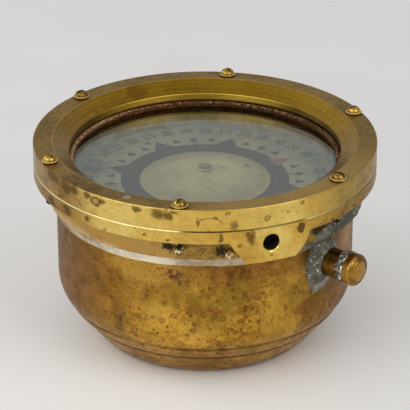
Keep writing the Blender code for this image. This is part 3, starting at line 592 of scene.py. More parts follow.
def pivot_drill(azimuth):
    """Cutter for one pivot socket with its chamfered mouth."""
    overcut = 2 * MM
    mouth = PIVOT_RADIUS + PIVOT_CHAMFER
    drill = turned(
        [
            (0.0, rim_radius + overcut),
            (mouth + overcut, rim_radius + overcut),
            (PIVOT_RADIUS, rim_radius - PIVOT_CHAMFER),
            (PIVOT_RADIUS, rim_radius - PIVOT_DEPTH),
            (0.0, rim_radius - PIVOT_DEPTH - 1.2 * MM),
        ],
        48,
    )
    bmesh.ops.transform(drill, matrix=level_axis(azimuth, flange_bottom - PIVOT_DROP), verts=drill.verts)
    return drill


def screw_drill(index):
    """Cutter for one bezel screw's hole."""
    bottom = flange_low.z
    top = flange_high.z + 20 * MM
    outline = [(0.0, bottom), (SCREW_HOLE_RADIUS, bottom), (SCREW_HOLE_RADIUS, top), (0.0, top)]
    drill = turned(outline, 31)
    hole = spot_at(SCREW_CIRCLE, math.tau * index / BEZEL_SCREWS, 0.0)
    bmesh.ops.translate(drill, verts=drill.verts, vec=hole)
    return drill


def carved(shape, cutters, ease):
    """The shape with each cutter taken out of it and its sharp edges worn round."""
    meshes = []
    for part in [shape] + cutters:
        bmesh.ops.recalc_face_normals(part, faces=part.faces)
        meshes.append(bpy.data.meshes.new("carving"))
        part.to_mesh(meshes[-1])
        part.free()
    objects = [bpy.data.objects.new("carving", mesh) for mesh in meshes]
    for item in objects:
        bpy.context.scene.collection.objects.link(item)
    for tool in objects[1:]:
        cut = objects[0].modifiers.new("cut", "BOOLEAN")
        cut.operation = "DIFFERENCE"
        cut.solver = "EXACT"
        cut.object = tool
    if ease:
        wear = objects[0].modifiers.new("wear", "BEVEL")
        wear.width = ease
        wear.segments = 2
        wear.limit_method = "ANGLE"
        wear.angle_limit = math.radians(38)
    graph = bpy.context.evaluated_depsgraph_get()
    result = bmesh.new()
    done = bpy.data.meshes.new_from_object(objects[0].evaluated_get(graph))
    result.from_mesh(done)
    bpy.data.meshes.remove(done)
    for item in objects:
        bpy.data.objects.remove(item)
    for mesh in meshes:
        bpy.data.meshes.remove(mesh)
    return result


flange_outline = [
    (rim_radius - CHAMFER_TALL, flange_high.z),
    (rim_radius - CHAMFER_DEEP - 0.13 * MM, flange_high.z - 0.05 * MM),
    (rim_radius - CHAMFER_DEEP, flange_high.z - 0.14 * MM),
    (rim_radius, flange_high.z - CHAMFER_TALL),
    (rim_radius, flange_high.z - CHAMFER_TALL - 0.1 * MM),
    (rim_radius, flange_low.z),
    (COLLAR_BORE, flange_low.z),
    (COLLAR_BORE, ledge_z - LIP_THICKNESS),
    (LIP_RADIUS, ledge_z - LIP_THICKNESS),
    (LIP_RADIUS, ledge_z),
    (REBATE_RADIUS, ledge_z),
    (REBATE_RADIUS, flange_high.z),
]
flange_cutters = [lug_gap(0.0), lug_gap(math.pi), pivot_drill(-math.pi / 2), pivot_drill(math.pi / 2)]
flange_cutters += [screw_drill(index) for index in range(BEZEL_SCREWS)]
flange_shape = carved(turned(flange_outline, 250), flange_cutters, EDGE_WEAR)

PALE_GOLD = tone(250, 224, 132)
BRIGHT_GOLD = tone(230, 188, 84)
WORN_GOLD = tone(204, 160, 66)
RIM_SIDE_SHADE = tone(138, 104, 36)
SPOT_BROWN = tone(104, 68, 28)
DROP_BROWN = tone(92, 58, 16)
PIT_BLACK = tone(44, 34, 20)
EDGE_HIGHLIGHT = tone(250, 234, 180)
SHADOW_BLACK = tone(20, 16, 10)
SATIN_COLLAR = tone(192, 152, 84)
CAST_BROWN = tone(186, 146, 62)
CAST_DARK = tone(104, 78, 30)
LIP_SHADE_OLIVE = tone(52, 47, 34)
LIP_SHADE_DARK = tone(36, 31, 22)
COLLAR_CAST_FROM = -40.0 * MM
FLANGE_STAINS = [
    (-106.6, 80.0, 0.9, 3.0), (-96.7, 78.8, 1.6, 2.0), (-98.0, 80.6, 1.1, 1.2), (-152.7, 79.7, 1.4, 0.8),
    (-131.1, 79.6, 0.8, 0.7), (-123.3, 78.1, 0.9, 0.6), (-162.4, 79.8, 2.6, 0.9), (-172.0, 79.0, 3.0, 0.8),
    (-79.3, 79.1, 1.4, 1.2), (-66.0, 77.7, 1.0, 0.7), (-63.0, 77.6, 0.9, 0.8), (-60.4, 77.8, 0.8, 0.7),
    (-54.5, 78.6, 1.0, 0.7), (-49.0, 78.2, 0.8, 0.6), (-45.5, 80.2, 0.8, 0.6), (-41.0, 79.0, 0.8, 0.7),
]
FLANGE_DROPS = [(-79.3, 79.1, 1.8, 1.25)]
WHITE_FILLING = tone(240, 230, 202)
COLLAR_SMEAR = [(-168.0, 66.8, 15.0, 0.2), (-150.0, 66.4, 8.0, 0.2)]
SHADED_HOLLOWS = [
    (-106.1, 70.4, 2.4, 1.2), (-67.6, 72.8, 4.6, 0.9), (-63.5, 70.4, 3.8, 0.7), (-124.4, 71.9, 3.0, 0.6),
]


def bright_rim(place, apart, stains, drops):
    """Rim brass colour, dullness and pits: worn gold, lathe lines, stains, spots, painted highlight and
    shade.
    """
    x = place.axis("X")
    other = moved(place, apart)
    rough_place = ragged(other, 1.4 * MM, 1.2 * MM)
    worn = (0.6 * cloud(other, 18 * MM, 4.0) + 0.4 * cloud(other, 2.5 * MM, 5.0, 0.65)).between(0.4, 0.62)
    # Painted highlights: the rim is paler gold at the left and at the front middle.
    rubbed_and_highlit = x.between(-26 * MM, -48 * MM) + abs(x - 3 * MM).between(17 * MM, 4 * MM)
    clean_and_highlit = (0.7 * rubbed_and_highlit).mix(BRIGHT_GOLD, PALE_GOLD)
    colour = worn.mix(clean_and_highlit, (0.8 * rubbed_and_highlit).mix(WORN_GOLD, BRIGHT_GOLD))
    lathe = cloud(place.node("CombineXYZ", {}, {0: place.axis("Z")}), 0.45 * MM, 2.0)
    lathe = lathe.between(0.56, 0.7) * cloud(other, 12 * MM, 3.0).between(0.45, 0.6)
    colour = (0.45 * lathe).mix(colour, SPOT_BROWN)
    # Painted shade: the two sides are browner.
    side_shade = side_shade_mask(place, 0.5 * rim_radius, 0.8 * rim_radius)
    patchy = cloud(other, 4 * MM, 5.0, 0.7)
    colour = (side_shade * (0.45 + 0.8 * patchy)).mix(colour, RIM_SIDE_SHADE)
    drawn = place.vector("MULTIPLY", place, (1.0, 1.0, 2.2))
    smudge = cloud(moved(drawn, apart), 7 * MM, 6.0, 0.72).between(0.53, 0.6)
    colour = (smudge * (0.16 + 0.4 * side_shade)).mix(colour, SPOT_BROWN)
    mask, rim = spots(rough_place, 8 * MM, 0.2, 0.55)
    pits, _ = spots(moved(rough_place, (0.2, 0.3, 0.4)), 2.6 * MM, 0.17, 0.36)
    colour = (0.35 * mask + 0.3 * rim).mix(colour, SPOT_BROWN)
    colour = (0.75 * pits).mix(colour, PIT_BLACK)
    specks = cloud(moved(other, (0.3, 0.7, 0.2)), 0.8 * MM, 3.0, 0.7).between(0.55, 0.68)
    colour = (0.5 * specks * (0.2 + patchy)).mix(colour, SPOT_BROWN)
    torn = ragged(ragged(place, 3 * MM, 2.4 * MM), 0.8 * MM, 1.1 * MM)
    away = 0.8 * nearest(torn, rim_radius, stains)
    broken = away + 1.6 * cloud(moved(other, (0.5, 0.1, 0.9)), 1.3 * MM, 4.0, 0.7) - 0.8
    brown = 0.5 * away.between(1.1, 0.8) + 0.5 * broken.between(0.8, 0.5)
    colour = (0.8 * brown).mix(colour, DROP_BROWN)
    ringed = dried(nearest(torn, rim_radius, drops) + 0.9 * patchy - 0.45)
    colour = ringed.mix(colour, DROP_BROWN)
    dull = 0.2 + 0.12 * worn + 0.2 * mask + 0.15 * side_shade + 0.12 * brown
    return colour, dull, mask + pits + 0.5 * brown


def flange_brass():
    """Bright spotted edge and lugs; the collar is satin on one side and pitted near the lug."""
    material, shader, place = finish("flange_brass", {"Coat Roughness": 0.15})
    x = place.axis("X")
    height = place.axis("Z")
    radius = from_axis(place)
    rough_place = ragged(place, 1.4 * MM, 1.2 * MM)
    colour, dull, marks = bright_rim(place, (0.0, 0.0, 0.0), FLANGE_STAINS, FLANGE_DROPS)
    collar = radius.between(rim_radius - 0.6 * MM, rim_radius - 1.2 * MM)
    collar = collar * height.between(flange_bottom + 0.3 * MM, flange_bottom - 0.1 * MM)
    darkening = cloud(place, 3 * MM, 5.0, 0.7).between(0.4, 0.62)
    pitted, _ = spots(rough_place, 0.95 * MM, 0.42, 0.7)
    as_cast = (x + 8 * MM * darkening).between(COLLAR_CAST_FROM, COLLAR_CAST_FROM + 8 * MM)
    cast = (0.7 * darkening).mix(CAST_BROWN, CAST_DARK)
    cast = (0.75 * pitted).mix(cast, PIT_BLACK)
    upright = place.vector("MULTIPLY", place, (0.0, 0.0, 1.0))
    streaks = cloud(upright, 0.7 * MM, 3.0).between(0.5, 0.66)
    streaks = streaks * cloud(place, 9 * MM, 4.0, 0.6).between(0.4, 0.6)
    satin = (0.5 * darkening).mix(SATIN_COLLAR, CAST_BROWN)
    satin = (0.75 * streaks).mix(satin, SPOT_BROWN)
    colour = collar.mix(colour, as_cast.mix(satin, cast))
    smear = nearest(ragged(rough_place, 5 * MM, 2 * MM), collar_radius, COLLAR_SMEAR)
    smear = collar * smear.between(1.2, 0.8)
    colour = (0.2 * smear).mix(colour, (0.5 * darkening).mix(WHITE_FILLING, CAST_BROWN))
    # Painted shade: near-black patches where recesses under the collar beside the lug lie in shadow.
    hollow_shade = nearest(ragged(rough_place, 2.2 * MM, 3.2 * MM), collar_radius, SHADED_HOLLOWS)
    hollow_shade = collar * (hollow_shade + 1.4 * cloud(place, 1.1 * MM, 4.0, 0.7) - 0.7).between(1.2, 0.65)
    colour = (0.92 * hollow_shade).mix(colour, SHADOW_BLACK)
    (0.12 - 0.12 * hollow_shade).feed(shader, "Coat Weight")
    # Painted shade: the pivot sockets are near black inside.
    up = height - (flange_bottom - PIVOT_DROP)
    socket = (x * x + up * up).between((PIVOT_RADIUS + 0.4 * MM) ** 2, PIVOT_RADIUS**2)
    socket = socket * radius.between(rim_radius - 0.5 * MM, rim_radius - 1.3 * MM)
    colour = socket.mix(colour, SHADOW_BLACK)
    edge = height.between(flange_high.z - CHAMFER_TALL - 0.1 * MM, flange_high.z - CHAMFER_TALL)
    edge = edge * radius.between(rim_radius - 1.2 * MM, rim_radius - 0.8 * MM)
    # A painted highlight runs along the joint with the bezel at the left, and fainter at the right; in the
    # middle the joint is dark.
    joint_highlight = edge * abs(x + 10.5 * MM).between(24 * MM, 29 * MM)
    joint_highlight = joint_highlight * x.between(60 * MM, 0.0).between(-0.6, 1.0)
    colour = (0.85 * (edge - joint_highlight)).mix((0.65 * joint_highlight).mix(colour, EDGE_HIGHLIGHT), PIT_BLACK)
    inner = radius.between(COLLAR_BORE + 0.3 * MM, COLLAR_BORE)
    inner = inner * height.between(ledge_z + 0.2 * MM, ledge_z)
    under_lip = ledge_z - LIP_THICKNESS
    paint = inner * height.between(under_lip + 0.5 * MM, under_lip + 0.1 * MM)
    # Painted shade: the lip's inner face under the glass is dark olive.
    colour = inner.mix(colour, (0.5 * darkening).mix(LIP_SHADE_OLIVE, LIP_SHADE_DARK))
    paint.mix(colour, darkening.mix(INSIDE_PAINT, INSIDE_STAIN)).feed(shader, "Base Color")
    dull = dull + collar * (0.1 + 0.22 * as_cast)
    (dull + 0.3 * inner + 0.4 * socket + 0.4 * hollow_shade).feed(shader, "Roughness")
    metal = 1.0 - 0.5 * collar * as_cast * darkening - 0.8 * hollow_shade - 0.3 * smear
    metal = metal - 0.25 * joint_highlight - 0.7 * socket
    (metal * (1.0 - 0.9 * inner - 0.1 * paint)).feed(shader, "Metallic")
    skin = 0.3 * cloud(place, 0.9 * MM, 2.0) - 0.5 * marks - 0.8 * collar * as_cast * pitted - hollow_shade
    skin.raise_skin(shader, 0.06 * MM)
    return material


settled("cast_flange", flange_shape, flange_brass(), nodes=["flange_ring"])

# Solder under the collar: a fillet run round by hand between collar and bowl, so it wanders in
# width. On one side of the lug it lies under an old white filling, cracked here and there; on
# the other it is bare grey solder, lumpy and dark.
SEAM_WIDTH = 2.6 * MM
SEAM_TOE = 0.3 * MM
RUN_FROM = -70.0
RUN_TO = -18.0
RUN_CLIMB = 9.6 * MM
RUN_COLUMNS = 110
RUN_STEPS = 16

seam_low, seam_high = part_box("seam_solder")


def seam_outline(turn):
    """The fillet's section at this turn."""
    around = Vector(spot_at(1.0, turn, 0.0))
    drop = 0.95 + 0.14 * noise.noise(around * 4) + 0.03 * noise.noise(around * 23)
    drop *= seam_high.z - seam_low.z
    swell = SEAM_WIDTH * (0.97 + 0.1 * noise.noise(around * 6) + 0.05 * noise.noise(around * 30))
    points = [(COLLAR_BORE, seam_high.z - drop), (COLLAR_BORE, seam_high.z)]
    for step in range(9):
        bend = math.pi / 2 * step / 8
        reach = swell * (1 - math.sin(bend) ** 1.6) + SEAM_TOE * math.sin(bend)
        points.append((COLLAR_BORE + reach, seam_high.z - drop * (1 - math.cos(bend))))
    return points


FILLING_SHADE = tone(198, 182, 152)
FILLING_BROWN = tone(168, 148, 114)
SEAM_LIT_SPOT = [(-137.0, 64.5, 20.0, 1.0)]
SEAM_SIDE_SHADE = tone(104, 84, 58)
LUMP_CREAM = tone(236, 222, 178)
LUMP_GOLD = tone(150, 116, 46)
SOLDER_GREY = tone(152, 148, 134)
SOLDER_DARK = tone(78, 74, 62)
SOLDER_BRIGHT = tone(240, 236, 220)
SOLDER_GREEN = tone(74, 72, 56)
SEAM_CRACKS = [
    (-166.0, 66.6, 2.0, 0.5), (-161.5, 65.4, 1.6, 0.6), (-158.0, 64.6, 1.2, 0.8), (-146.6, 65.6, 0.6, 2.4),
    (-111.2, 64.6, 0.5, 2.6), (-108.8, 64.2, 0.5, 2.0),
]


def solder_grey(place, darkened):
    """Colour, dullness and skin of old soft solder: grey with dark scale and bright flecks."""
    scale = cloud(place, 7 * MM, 5.0, 0.62).between(0.4, 0.6)
    flecks = cloud(moved(place, (0.6, 0.2, 0.8)), 1.5 * MM, 4.0, 0.7).between(0.57, 0.66)
    tarnish = cloud(moved(place, (0.9, 0.1, 0.3)), 1.6 * MM, 4.0, 0.65).between(0.4, 0.62)
    colour = (0.5 * scale + 0.35 * tarnish).mix(SOLDER_GREY, SOLDER_DARK)
    colour = darkened.mix(colour, SOLDER_GREEN)
    colour = (0.9 * flecks * (1 - 0.6 * scale)).mix(colour, SOLDER_BRIGHT)
    dull = 0.42 + 0.2 * scale - 0.2 * flecks
    skin = 0.6 * cloud(place, 2.6 * MM, 4.0) + 0.3 * flecks
    return colour, dull, skin


def seam_finish():
    """White filling towards one side of the lug, bare solder on its lumps and towards the other."""
    material, shader, place = finish("seam_filling")
    seam_middle = COLLAR_BORE + SEAM_WIDTH / 2
    # Painted shade: the bare solder is darker towards the right.
    grey, dull, skin = solder_grey(place, 0.85 * place.axis("X").between(12 * MM, 45 * MM))
    bare = along(place, (1.0, 0.25, 0.0)).between(-4 * MM, 6 * MM)
    lumps = from_axis(place).between(collar_radius + 0.1 * MM, collar_radius + 0.3 * MM) * (1 - bare)
    cracked = nearest(ragged(place, 1.5 * MM, 2.2 * MM), seam_middle, SEAM_CRACKS).between(1.0, 0.7)
    shade = cloud(place, 6 * MM, 4.0).between(0.42, 0.62)
    # Painted light: the filling is whitest round one place at the left front and dimmed to FILLING_SHADE
    # elsewhere; the two sides get painted shade.
    lit_filling = nearest(place, seam_middle, SEAM_LIT_SPOT).between(1.2, 0.4) * (1.0 - 0.4 * shade)
    white = lit_filling.mix(shade.mix(FILLING_SHADE, FILLING_BROWN), WHITE_FILLING)
    white = (0.75 * side_shade_mask(place, 0.72 * collar_radius, 0.95 * collar_radius)).mix(white, SEAM_SIDE_SHADE)
    white = (0.85 * cracked).mix(white, SOLDER_DARK)
    crumple = cloud(place, 1.5 * MM, 3.0)
    bright = crumple.between(0.46, 0.56).mix(LUMP_GOLD, LUMP_CREAM)
    bright = cloud(moved(place, (0.2, 0.1, 0.4)), 2.2 * MM, 3.0).between(0.52, 0.6).mix(bright, PIT_BLACK)
    lumps.mix(bare.mix(white, grey), bright).feed(shader, "Base Color")
    (0.7 * bare + 0.6 * lumps).feed(shader, "Metallic")
    (0.62 - bare * (0.62 - dull) - 0.35 * lumps).feed(shader, "Roughness")
    (skin - 0.8 * cracked).raise_skin(shader, 0.12 * MM)
    return material


def solder_lump(shape, azimuth, radius, height, size):
    """Adds one lump of solder to the shape, its size given out, across and up."""
    lump = bmesh.ops.create_icosphere(shape, subdivisions=4, radius=1.0)["verts"]
    for vert in lump:
        swell = 1 + 0.3 * noise.noise(vert.co * 1.7 + Vector((azimuth, 0.0, 0.0)))
        vert.co = Vector([part * reach * swell for part, reach in zip(vert.co, size)])
    turn = math.radians(azimuth)
    lay = Matrix.Translation(spot_at(radius, turn, height)) @ Matrix.Rotation(turn, 4, "Z")
    bmesh.ops.transform(shape, matrix=lay, verts=lump)


def solder_run(shape):
    """Adds the solder smeared up over the collar beside the lug, its upper edge ragged."""
    base = collar_radius - 0.15 * MM
    rows = []
    for column in range(RUN_COLUMNS + 1):
        share = column / RUN_COLUMNS
        turn = math.radians(RUN_FROM + (RUN_TO - RUN_FROM) * share)
        around = Vector(spot_at(1.0, turn, 1.0))
        taper = math.sin(math.pi * share) ** 0.5
        rise = RUN_CLIMB * taper * (0.9 + 0.25 * noise.noise(around * 9))
        row = []
        for step in range(RUN_STEPS + 1):
            climbed = step / RUN_STEPS
            height = seam_high.z - 0.8 * MM + rise * climbed
            lump = noise.noise(Vector((around.x * 20, around.y * 20, height / (3.2 * MM))))
            thick = (0.9 + 0.5 * lump) * MM * (1 - climbed**4) * taper
            row.append((collar_radius + max(thick, 0.0), height))
        row += [(base, row[-1][1]), (base, row[0][1])]
        rows.append([spot_at(radius, turn, height) for radius, height in row])
    lofted(shape, rows, closed=False)


seam_shape = turned(seam_outline, 360)
solder_run(seam_shape)
solder_lump(seam_shape, -103.2, collar_radius + 0.3 * MM, 69.6 * MM, (1.6 * MM, 1.9 * MM, 2.3 * MM))
solder_lump(seam_shape, -120.2, SCREW_CIRCLE - 0.4 * MM, 71.4 * MM, (2.0 * MM, 2.2 * MM, 1.7 * MM))
settled("seam_fillet", seam_shape, seam_finish(), nodes=["seam_solder"])

# Filler neck: a brass tube let through the bowl's side, closed by a drawn cap. A ring of soft
# solder seals the cap, and an untidy patch of it holds the tube to the bowl.
FILLER_AZIMUTH = math.radians(300)
FILLER_RADIUS = 6.35 * MM
FILLER_WALL = 2.0 * MM
FILLER_START = 64.7 * MM
FILLER_END = 82.1 * MM
FILLER_CAP_RADIUS = 7.15 * MM
FILLER_CAP_MOUTH = 79.7 * MM
FILLER_CAP_TIP = 84.4 * MM
FILLER_CAP_ROUND = 1.9 * MM
FACE_GROOVE = 5.2 * MM
CAP_SOLDER_START = 75.7 * MM
SEAT_GAP = 0.3 * MM

filler_low, filler_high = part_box("filler_tube")
filler_z = (filler_low.z + filler_high.z) / 2
filler_place = level_axis(FILLER_AZIMUTH, filler_z)


def eased(corners, ease, steps=3):
    """A closed outline with its sharp corners rounded off."""
    outline = []
    corners = [Vector(corner) for corner in corners]
    for before, corner, after in zip(corners[-1:] + corners[:-1], corners, corners[1:] + corners[:1]):
        back = before - corner
        ahead = after - corner
        angle = back.angle(ahead)
        if angle > math.radians(150):
            outline.append(tuple(corner))
            continue
        reach = min(ease / math.tan(angle / 2), 0.45 * back.length, 0.45 * ahead.length)
        start = corner + back.normalized() * reach
        end = corner + ahead.normalized() * reach
        for step in range(steps + 1):
            share = step / steps
            point = start * (1 - share) ** 2 + corner * (2 * share * (1 - share)) + end * share**2
            outline.append(tuple(point))
    return outline


def laid(shape):
    """The shape, turned about its own axis, laid along the filler neck."""
    bmesh.ops.transform(shape, matrix=filler_place, verts=shape.verts)
    return shape


FILLER_GOLD = tone(182, 138, 60)
FILLER_OLIVE = tone(118, 88, 34)
FILLER_DARK = tone(70, 54, 26)


def filler_brass():
    """Drawn brass, olive in the hollows and rubbed gold where hands reach it."""
    material, shader, place = finish("filler_brass", {"Metallic": 1.0})
    cloudy = (0.75 * cloud(place, 9 * MM, 4.0) + 0.25 * cloud(place, 1.6 * MM, 3.0)).between(0.4, 0.62)
    colour = cloudy.mix(FILLER_GOLD, FILLER_OLIVE)
    marks, _ = spots(ragged(place, 1 * MM, 0.6 * MM), 3 * MM, 0.25, 0.4)
    colour = (0.6 * marks).mix(colour, FILLER_DARK)
    out = along(place, spot_at(1.0, FILLER_AZIMUTH, 0.0))
    mottle = cloud(place, 3 * MM, 5.0, 0.7).between(0.4, 0.6)
    colour = (out.between(78 * MM, 76 * MM) * (0.25 + 0.5 * mottle)).mix(colour, FILLER_DARK)
    lip = abs(out - FILLER_CAP_TIP + 0.4 * MM).between(0.9 * MM, 0.3 * MM)
    colour = (0.6 * lip * mottle).mix(colour, FILLER_DARK)
    colour.feed(shader, "Base Color")
    (0.28 + 0.14 * cloudy + 0.15 * marks).feed(shader, "Roughness")
    (0.3 * cloud(place, 1.2 * MM, 3.0) - 0.4 * marks).raise_skin(shader, 0.03 * MM)
    return material


filler_finish = filler_brass()
tube_bore = FILLER_RADIUS - FILLER_WALL
tube_corners = [
    (FILLER_RADIUS, FILLER_END),
    (FILLER_RADIUS, FILLER_START),
    (tube_bore, FILLER_START),
    (tube_bore, FILLER_END),
]
tube_shape = laid(turned(eased(tube_corners, 0.3 * MM), 96))
settled("filler_pipe", tube_shape, filler_finish, nodes=["filler_tube"])
cap_hollow = FILLER_RADIUS + SEAT_GAP
cap_corner = (FILLER_CAP_RADIUS - FILLER_CAP_ROUND, FILLER_CAP_TIP - FILLER_CAP_ROUND)
closed_cap = [
    (0.0, FILLER_CAP_TIP + 0.9 * MM),
    (2.0 * MM, FILLER_CAP_TIP + 0.8 * MM),
    (3.8 * MM, FILLER_CAP_TIP + 0.45 * MM),
    (FACE_GROOVE - 0.25 * MM, FILLER_CAP_TIP + 0.05 * MM),
    (FACE_GROOVE, FILLER_CAP_TIP - 0.25 * MM),
]
closed_cap += list(reversed(arc(cap_corner, FILLER_CAP_ROUND, 0.0, math.radians(80), 8)))
closed_cap += [
    (FILLER_CAP_RADIUS, FILLER_CAP_MOUTH),
    (cap_hollow, FILLER_CAP_MOUTH),
    (cap_hollow, FILLER_END + SEAT_GAP),
    (0.0, FILLER_END + SEAT_GAP),
]
cap_shape = laid(turned(closed_cap, 96))
settled("filler_closing_cap", cap_shape, filler_finish, nodes=["filler_cap"])


def cap_solder_outline(turn):
    """Section of the ring of solder at the cap's mouth, uneven all round."""
    around = Vector(spot_at(1.0, turn, 3.0))
    start = CAP_SOLDER_START + 0.9 * MM * noise.noise(around * 4)
    top = FILLER_CAP_MOUTH + 0.5 * MM * noise.noise(around * 5 + Vector((0, 0, 2)))
    outline = [(FILLER_RADIUS, top), (FILLER_CAP_RADIUS, top + 0.1 * MM)]
    for step in range(1, 8):
        share = step / 8
        lump = noise.noise(Vector((around.x * 3, around.y * 3, share * 4)) * 2)
        thick = (FILLER_CAP_RADIUS - FILLER_RADIUS) * (1 - share**2) + 0.45 * MM * (0.4 + lump)
        outline.append((FILLER_RADIUS + max(thick, 0.1 * MM), top + (start - top) * share))
    return outline + [(FILLER_RADIUS, start)]


def solder_finish():
    """Bare soft solder, darker above and where it thins out over the bowl."""
    material, shader, place = finish("soft_solder", {"Metallic": 0.7})
    radius = from_axis(place)
    up = place.axis("Z") + 5 * MM * cloud(place, 3 * MM, 4.0)
    dark = up.between(filler_z - 7 * MM, filler_z - 2 * MM)
    thin = radius + 0.8 * MM * cloud(place, 1.2 * MM)
    thin = thin.between(bowl_radius + 1.2 * MM, bowl_radius + 0.5 * MM)
    colour, dull, skin = solder_grey(place, 0.6 * dark + 0.3 * thin)
    glints = cloud(moved(place, (0.1, 0.4, 0.2)), 1.5 * MM, 3.0, 0.6).between(0.53, 0.58)
    glints = glints * radius.between(FILLER_START + 6 * MM, FILLER_START + 9 * MM)
    (0.85 * glints).mix(colour, SOLDER_BRIGHT).feed(shader, "Base Color")
    dull.feed(shader, "Roughness")
    skin.raise_skin(shader, 0.1 * MM)
    return material


bare_solder = solder_finish()
cap_ring = laid(turned(cap_solder_outline, 128))
settled("filler_cap_seal", cap_ring, bare_solder, nodes=["filler_cap_solder"])

PATCH_STEPS = 144
PATCH_ROWS = 18
PATCH_THICK = 2.3 * MM
PATCH_REACH = [
    (20, 3.0), (75, 3.4), (125, 5.6), (160, 6.4), (200, 6.0), (235, 8.6), (262, 7.0), (300, 2.2), (380, 3.0),
]


def patch_reach(turn):
    """How far the solder has run from the tube in this direction, 90 degrees being up."""
    degrees = math.degrees(turn) % 360
    degrees += 360 if degrees < PATCH_REACH[0][0] else 0
    for (start, near), (end, far) in zip(PATCH_REACH, PATCH_REACH[1:]):
        if start <= degrees <= end:
            share = (degrees - start) / (end - start)
            return MM * (near + (far - near) * share * share * (3 - 2 * share))


def filler_patch():
    """Patch of solder round the tube's foot, thickest at the tube, ragged at its edge."""
    shape = bmesh.new()
    base = bowl_radius - 0.2 * MM
    start = FILLER_RADIUS + 0.05 * MM
    rows = []
    for step in range(PATCH_STEPS):
        turn = math.tau * step / PATCH_STEPS
        around = Vector(spot_at(1.0, turn, 7.0))
        spread = patch_reach(turn) * (1 + 0.18 * noise.noise(around * 6) + 0.16 * noise.noise(around * 17))
        row = []
        for index in range(PATCH_ROWS + 1):
            share = index / PATCH_ROWS
            reach = start + spread * share
            lump = noise.noise(Vector(spot_at(reach, turn, 0.0)) / (2.2 * MM))
            thick = PATCH_THICK * (1 - share) ** 2 + 0.24 * MM
            thick += 0.7 * MM * (1 - share**4) * (1.0 + 0.5 * lump)
            row.append((reach, thick if index < PATCH_ROWS else 0.0))
        row.append((start, 0.0))
        points = []
        for reach, thick in row:
            azimuth = FILLER_AZIMUTH + reach * math.cos(turn) / base
            points.append(spot_at(base + thick, azimuth, filler_z + reach * math.sin(turn)))
        rows.append(points)
    lofted(shape, rows)
    return shape


settled("filler_patch", filler_patch(), bare_solder, nodes=["filler_solder"])

# Pivot needle and magnets: hardened steel, the needle ground to a point and the bar magnets
# left black from hardening, with a little brown rust.
STEEL_GREY = tone(120, 120, 122)
STEEL_RUST = tone(92, 62, 44)

hard_steel = mottled(
    "hard_steel", 1.0, STEEL_GREY, STEEL_RUST, patch=(3 * MM, 5.0), limits=(0.52, 0.66),
    dull=(0.3, 0.35), grain=(0.7 * MM, 3.0), depth=0.02 * MM,
)
dressed(hard_steel, "pivot_needle", "magnet_1", "magnet_2")

# Float: a domed lid and a dish of thin sheet metal soldered into one hollow body that takes the
# card's weight off the pivot. It is painted cream, yellowed and flecked with age.
FLOAT_WALL = 0.8 * MM
HOUSING_HOLE = 3.2 * MM
DOME_RIM = 28.9 * MM
DOME_STEPS = 24

dome_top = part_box("float_top")[1].z
card_low, card_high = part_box("compass_card")
dome_rise = dome_top - card_high.z
CREAM = tone(220, 203, 148)
CREAM_GREEN = tone(198, 190, 136)
CREAM_GREY = tone(158, 142, 98)
CREAM_STAIN = tone(142, 118, 90)
FLECK_DARK = tone(50, 48, 32)
DOME_FLECKS = [(1.8, 20.5, 1.5), (-21.2, 24.9, 1.0), (60.0, 22.0, 0.7)]


def dome_height(radius):
    """Height of the float's lid at this radius."""
    sphere = (DOME_RIM * DOME_RIM + dome_rise * dome_rise) / (2 * dome_rise)
    return dome_top - sphere + math.sqrt(sphere * sphere - radius * radius)


def float_paint():
    """Aged cream paint with greenish clouds and a few dark flecks."""
    material, shader, place = finish("float_paint")
    clouds = (0.6 * cloud(place, 16 * MM, 4.0) + 0.4 * cloud(place, 4 * MM, 4.0)).between(0.42, 0.6)
    colour = clouds.mix(CREAM, CREAM_GREEN)
    out = from_axis(place)
    colour = (0.6 * out.between(10 * MM, 27 * MM)).mix(colour, CREAM_GREY)
    # Painted highlight: a pale line round the dome's rim.
    colour = (0.5 * out.between(DOME_RIM - 0.9 * MM, DOME_RIM - 0.4 * MM)).mix(colour, CREAM)
    blush = cloud(moved(place, (0.5, 0.3, 0.0)), 11 * MM, 5.0, 0.65).between(0.48, 0.66)
    colour = (0.35 * blush).mix(colour, CREAM_STAIN)
    flecks, _ = spots(ragged(place, 1 * MM, 0.8 * MM), 4 * MM, 0.13, 0.5)
    colour = (0.5 * flecks).mix(colour, FLECK_DARK)
    for azimuth, radius, reach in DOME_FLECKS:
        away = stain(ragged(place, 1 * MM, MM), azimuth, radius * MM, dome_top - 2 * MM, reach * MM, 3.0)
        colour = (0.9 * away.between(1.1, 0.6)).mix(colour, FLECK_DARK)
    colour.feed(shader, "Base Color")
    (0.42 + 0.2 * clouds).feed(shader, "Roughness")
    cloud(place, 2 * MM, 3.0).raise_skin(shader, 0.03 * MM)
    return material


cream_paint = float_paint()
dome_shares = [step / DOME_STEPS for step in range(DOME_STEPS + 1)]
dome_radii = [HOUSING_HOLE + (DOME_RIM - HOUSING_HOLE) * share for share in dome_shares]
dome_outline = [(radius, dome_height(radius)) for radius in dome_radii]
dome_outline += [(radius, dome_height(radius) - FLOAT_WALL) for radius in reversed(dome_radii)]
settled("float_lid", turned(dome_outline, 192), cream_paint, "card", ["float_top"])
dressed(cream_paint, "float_bottom")

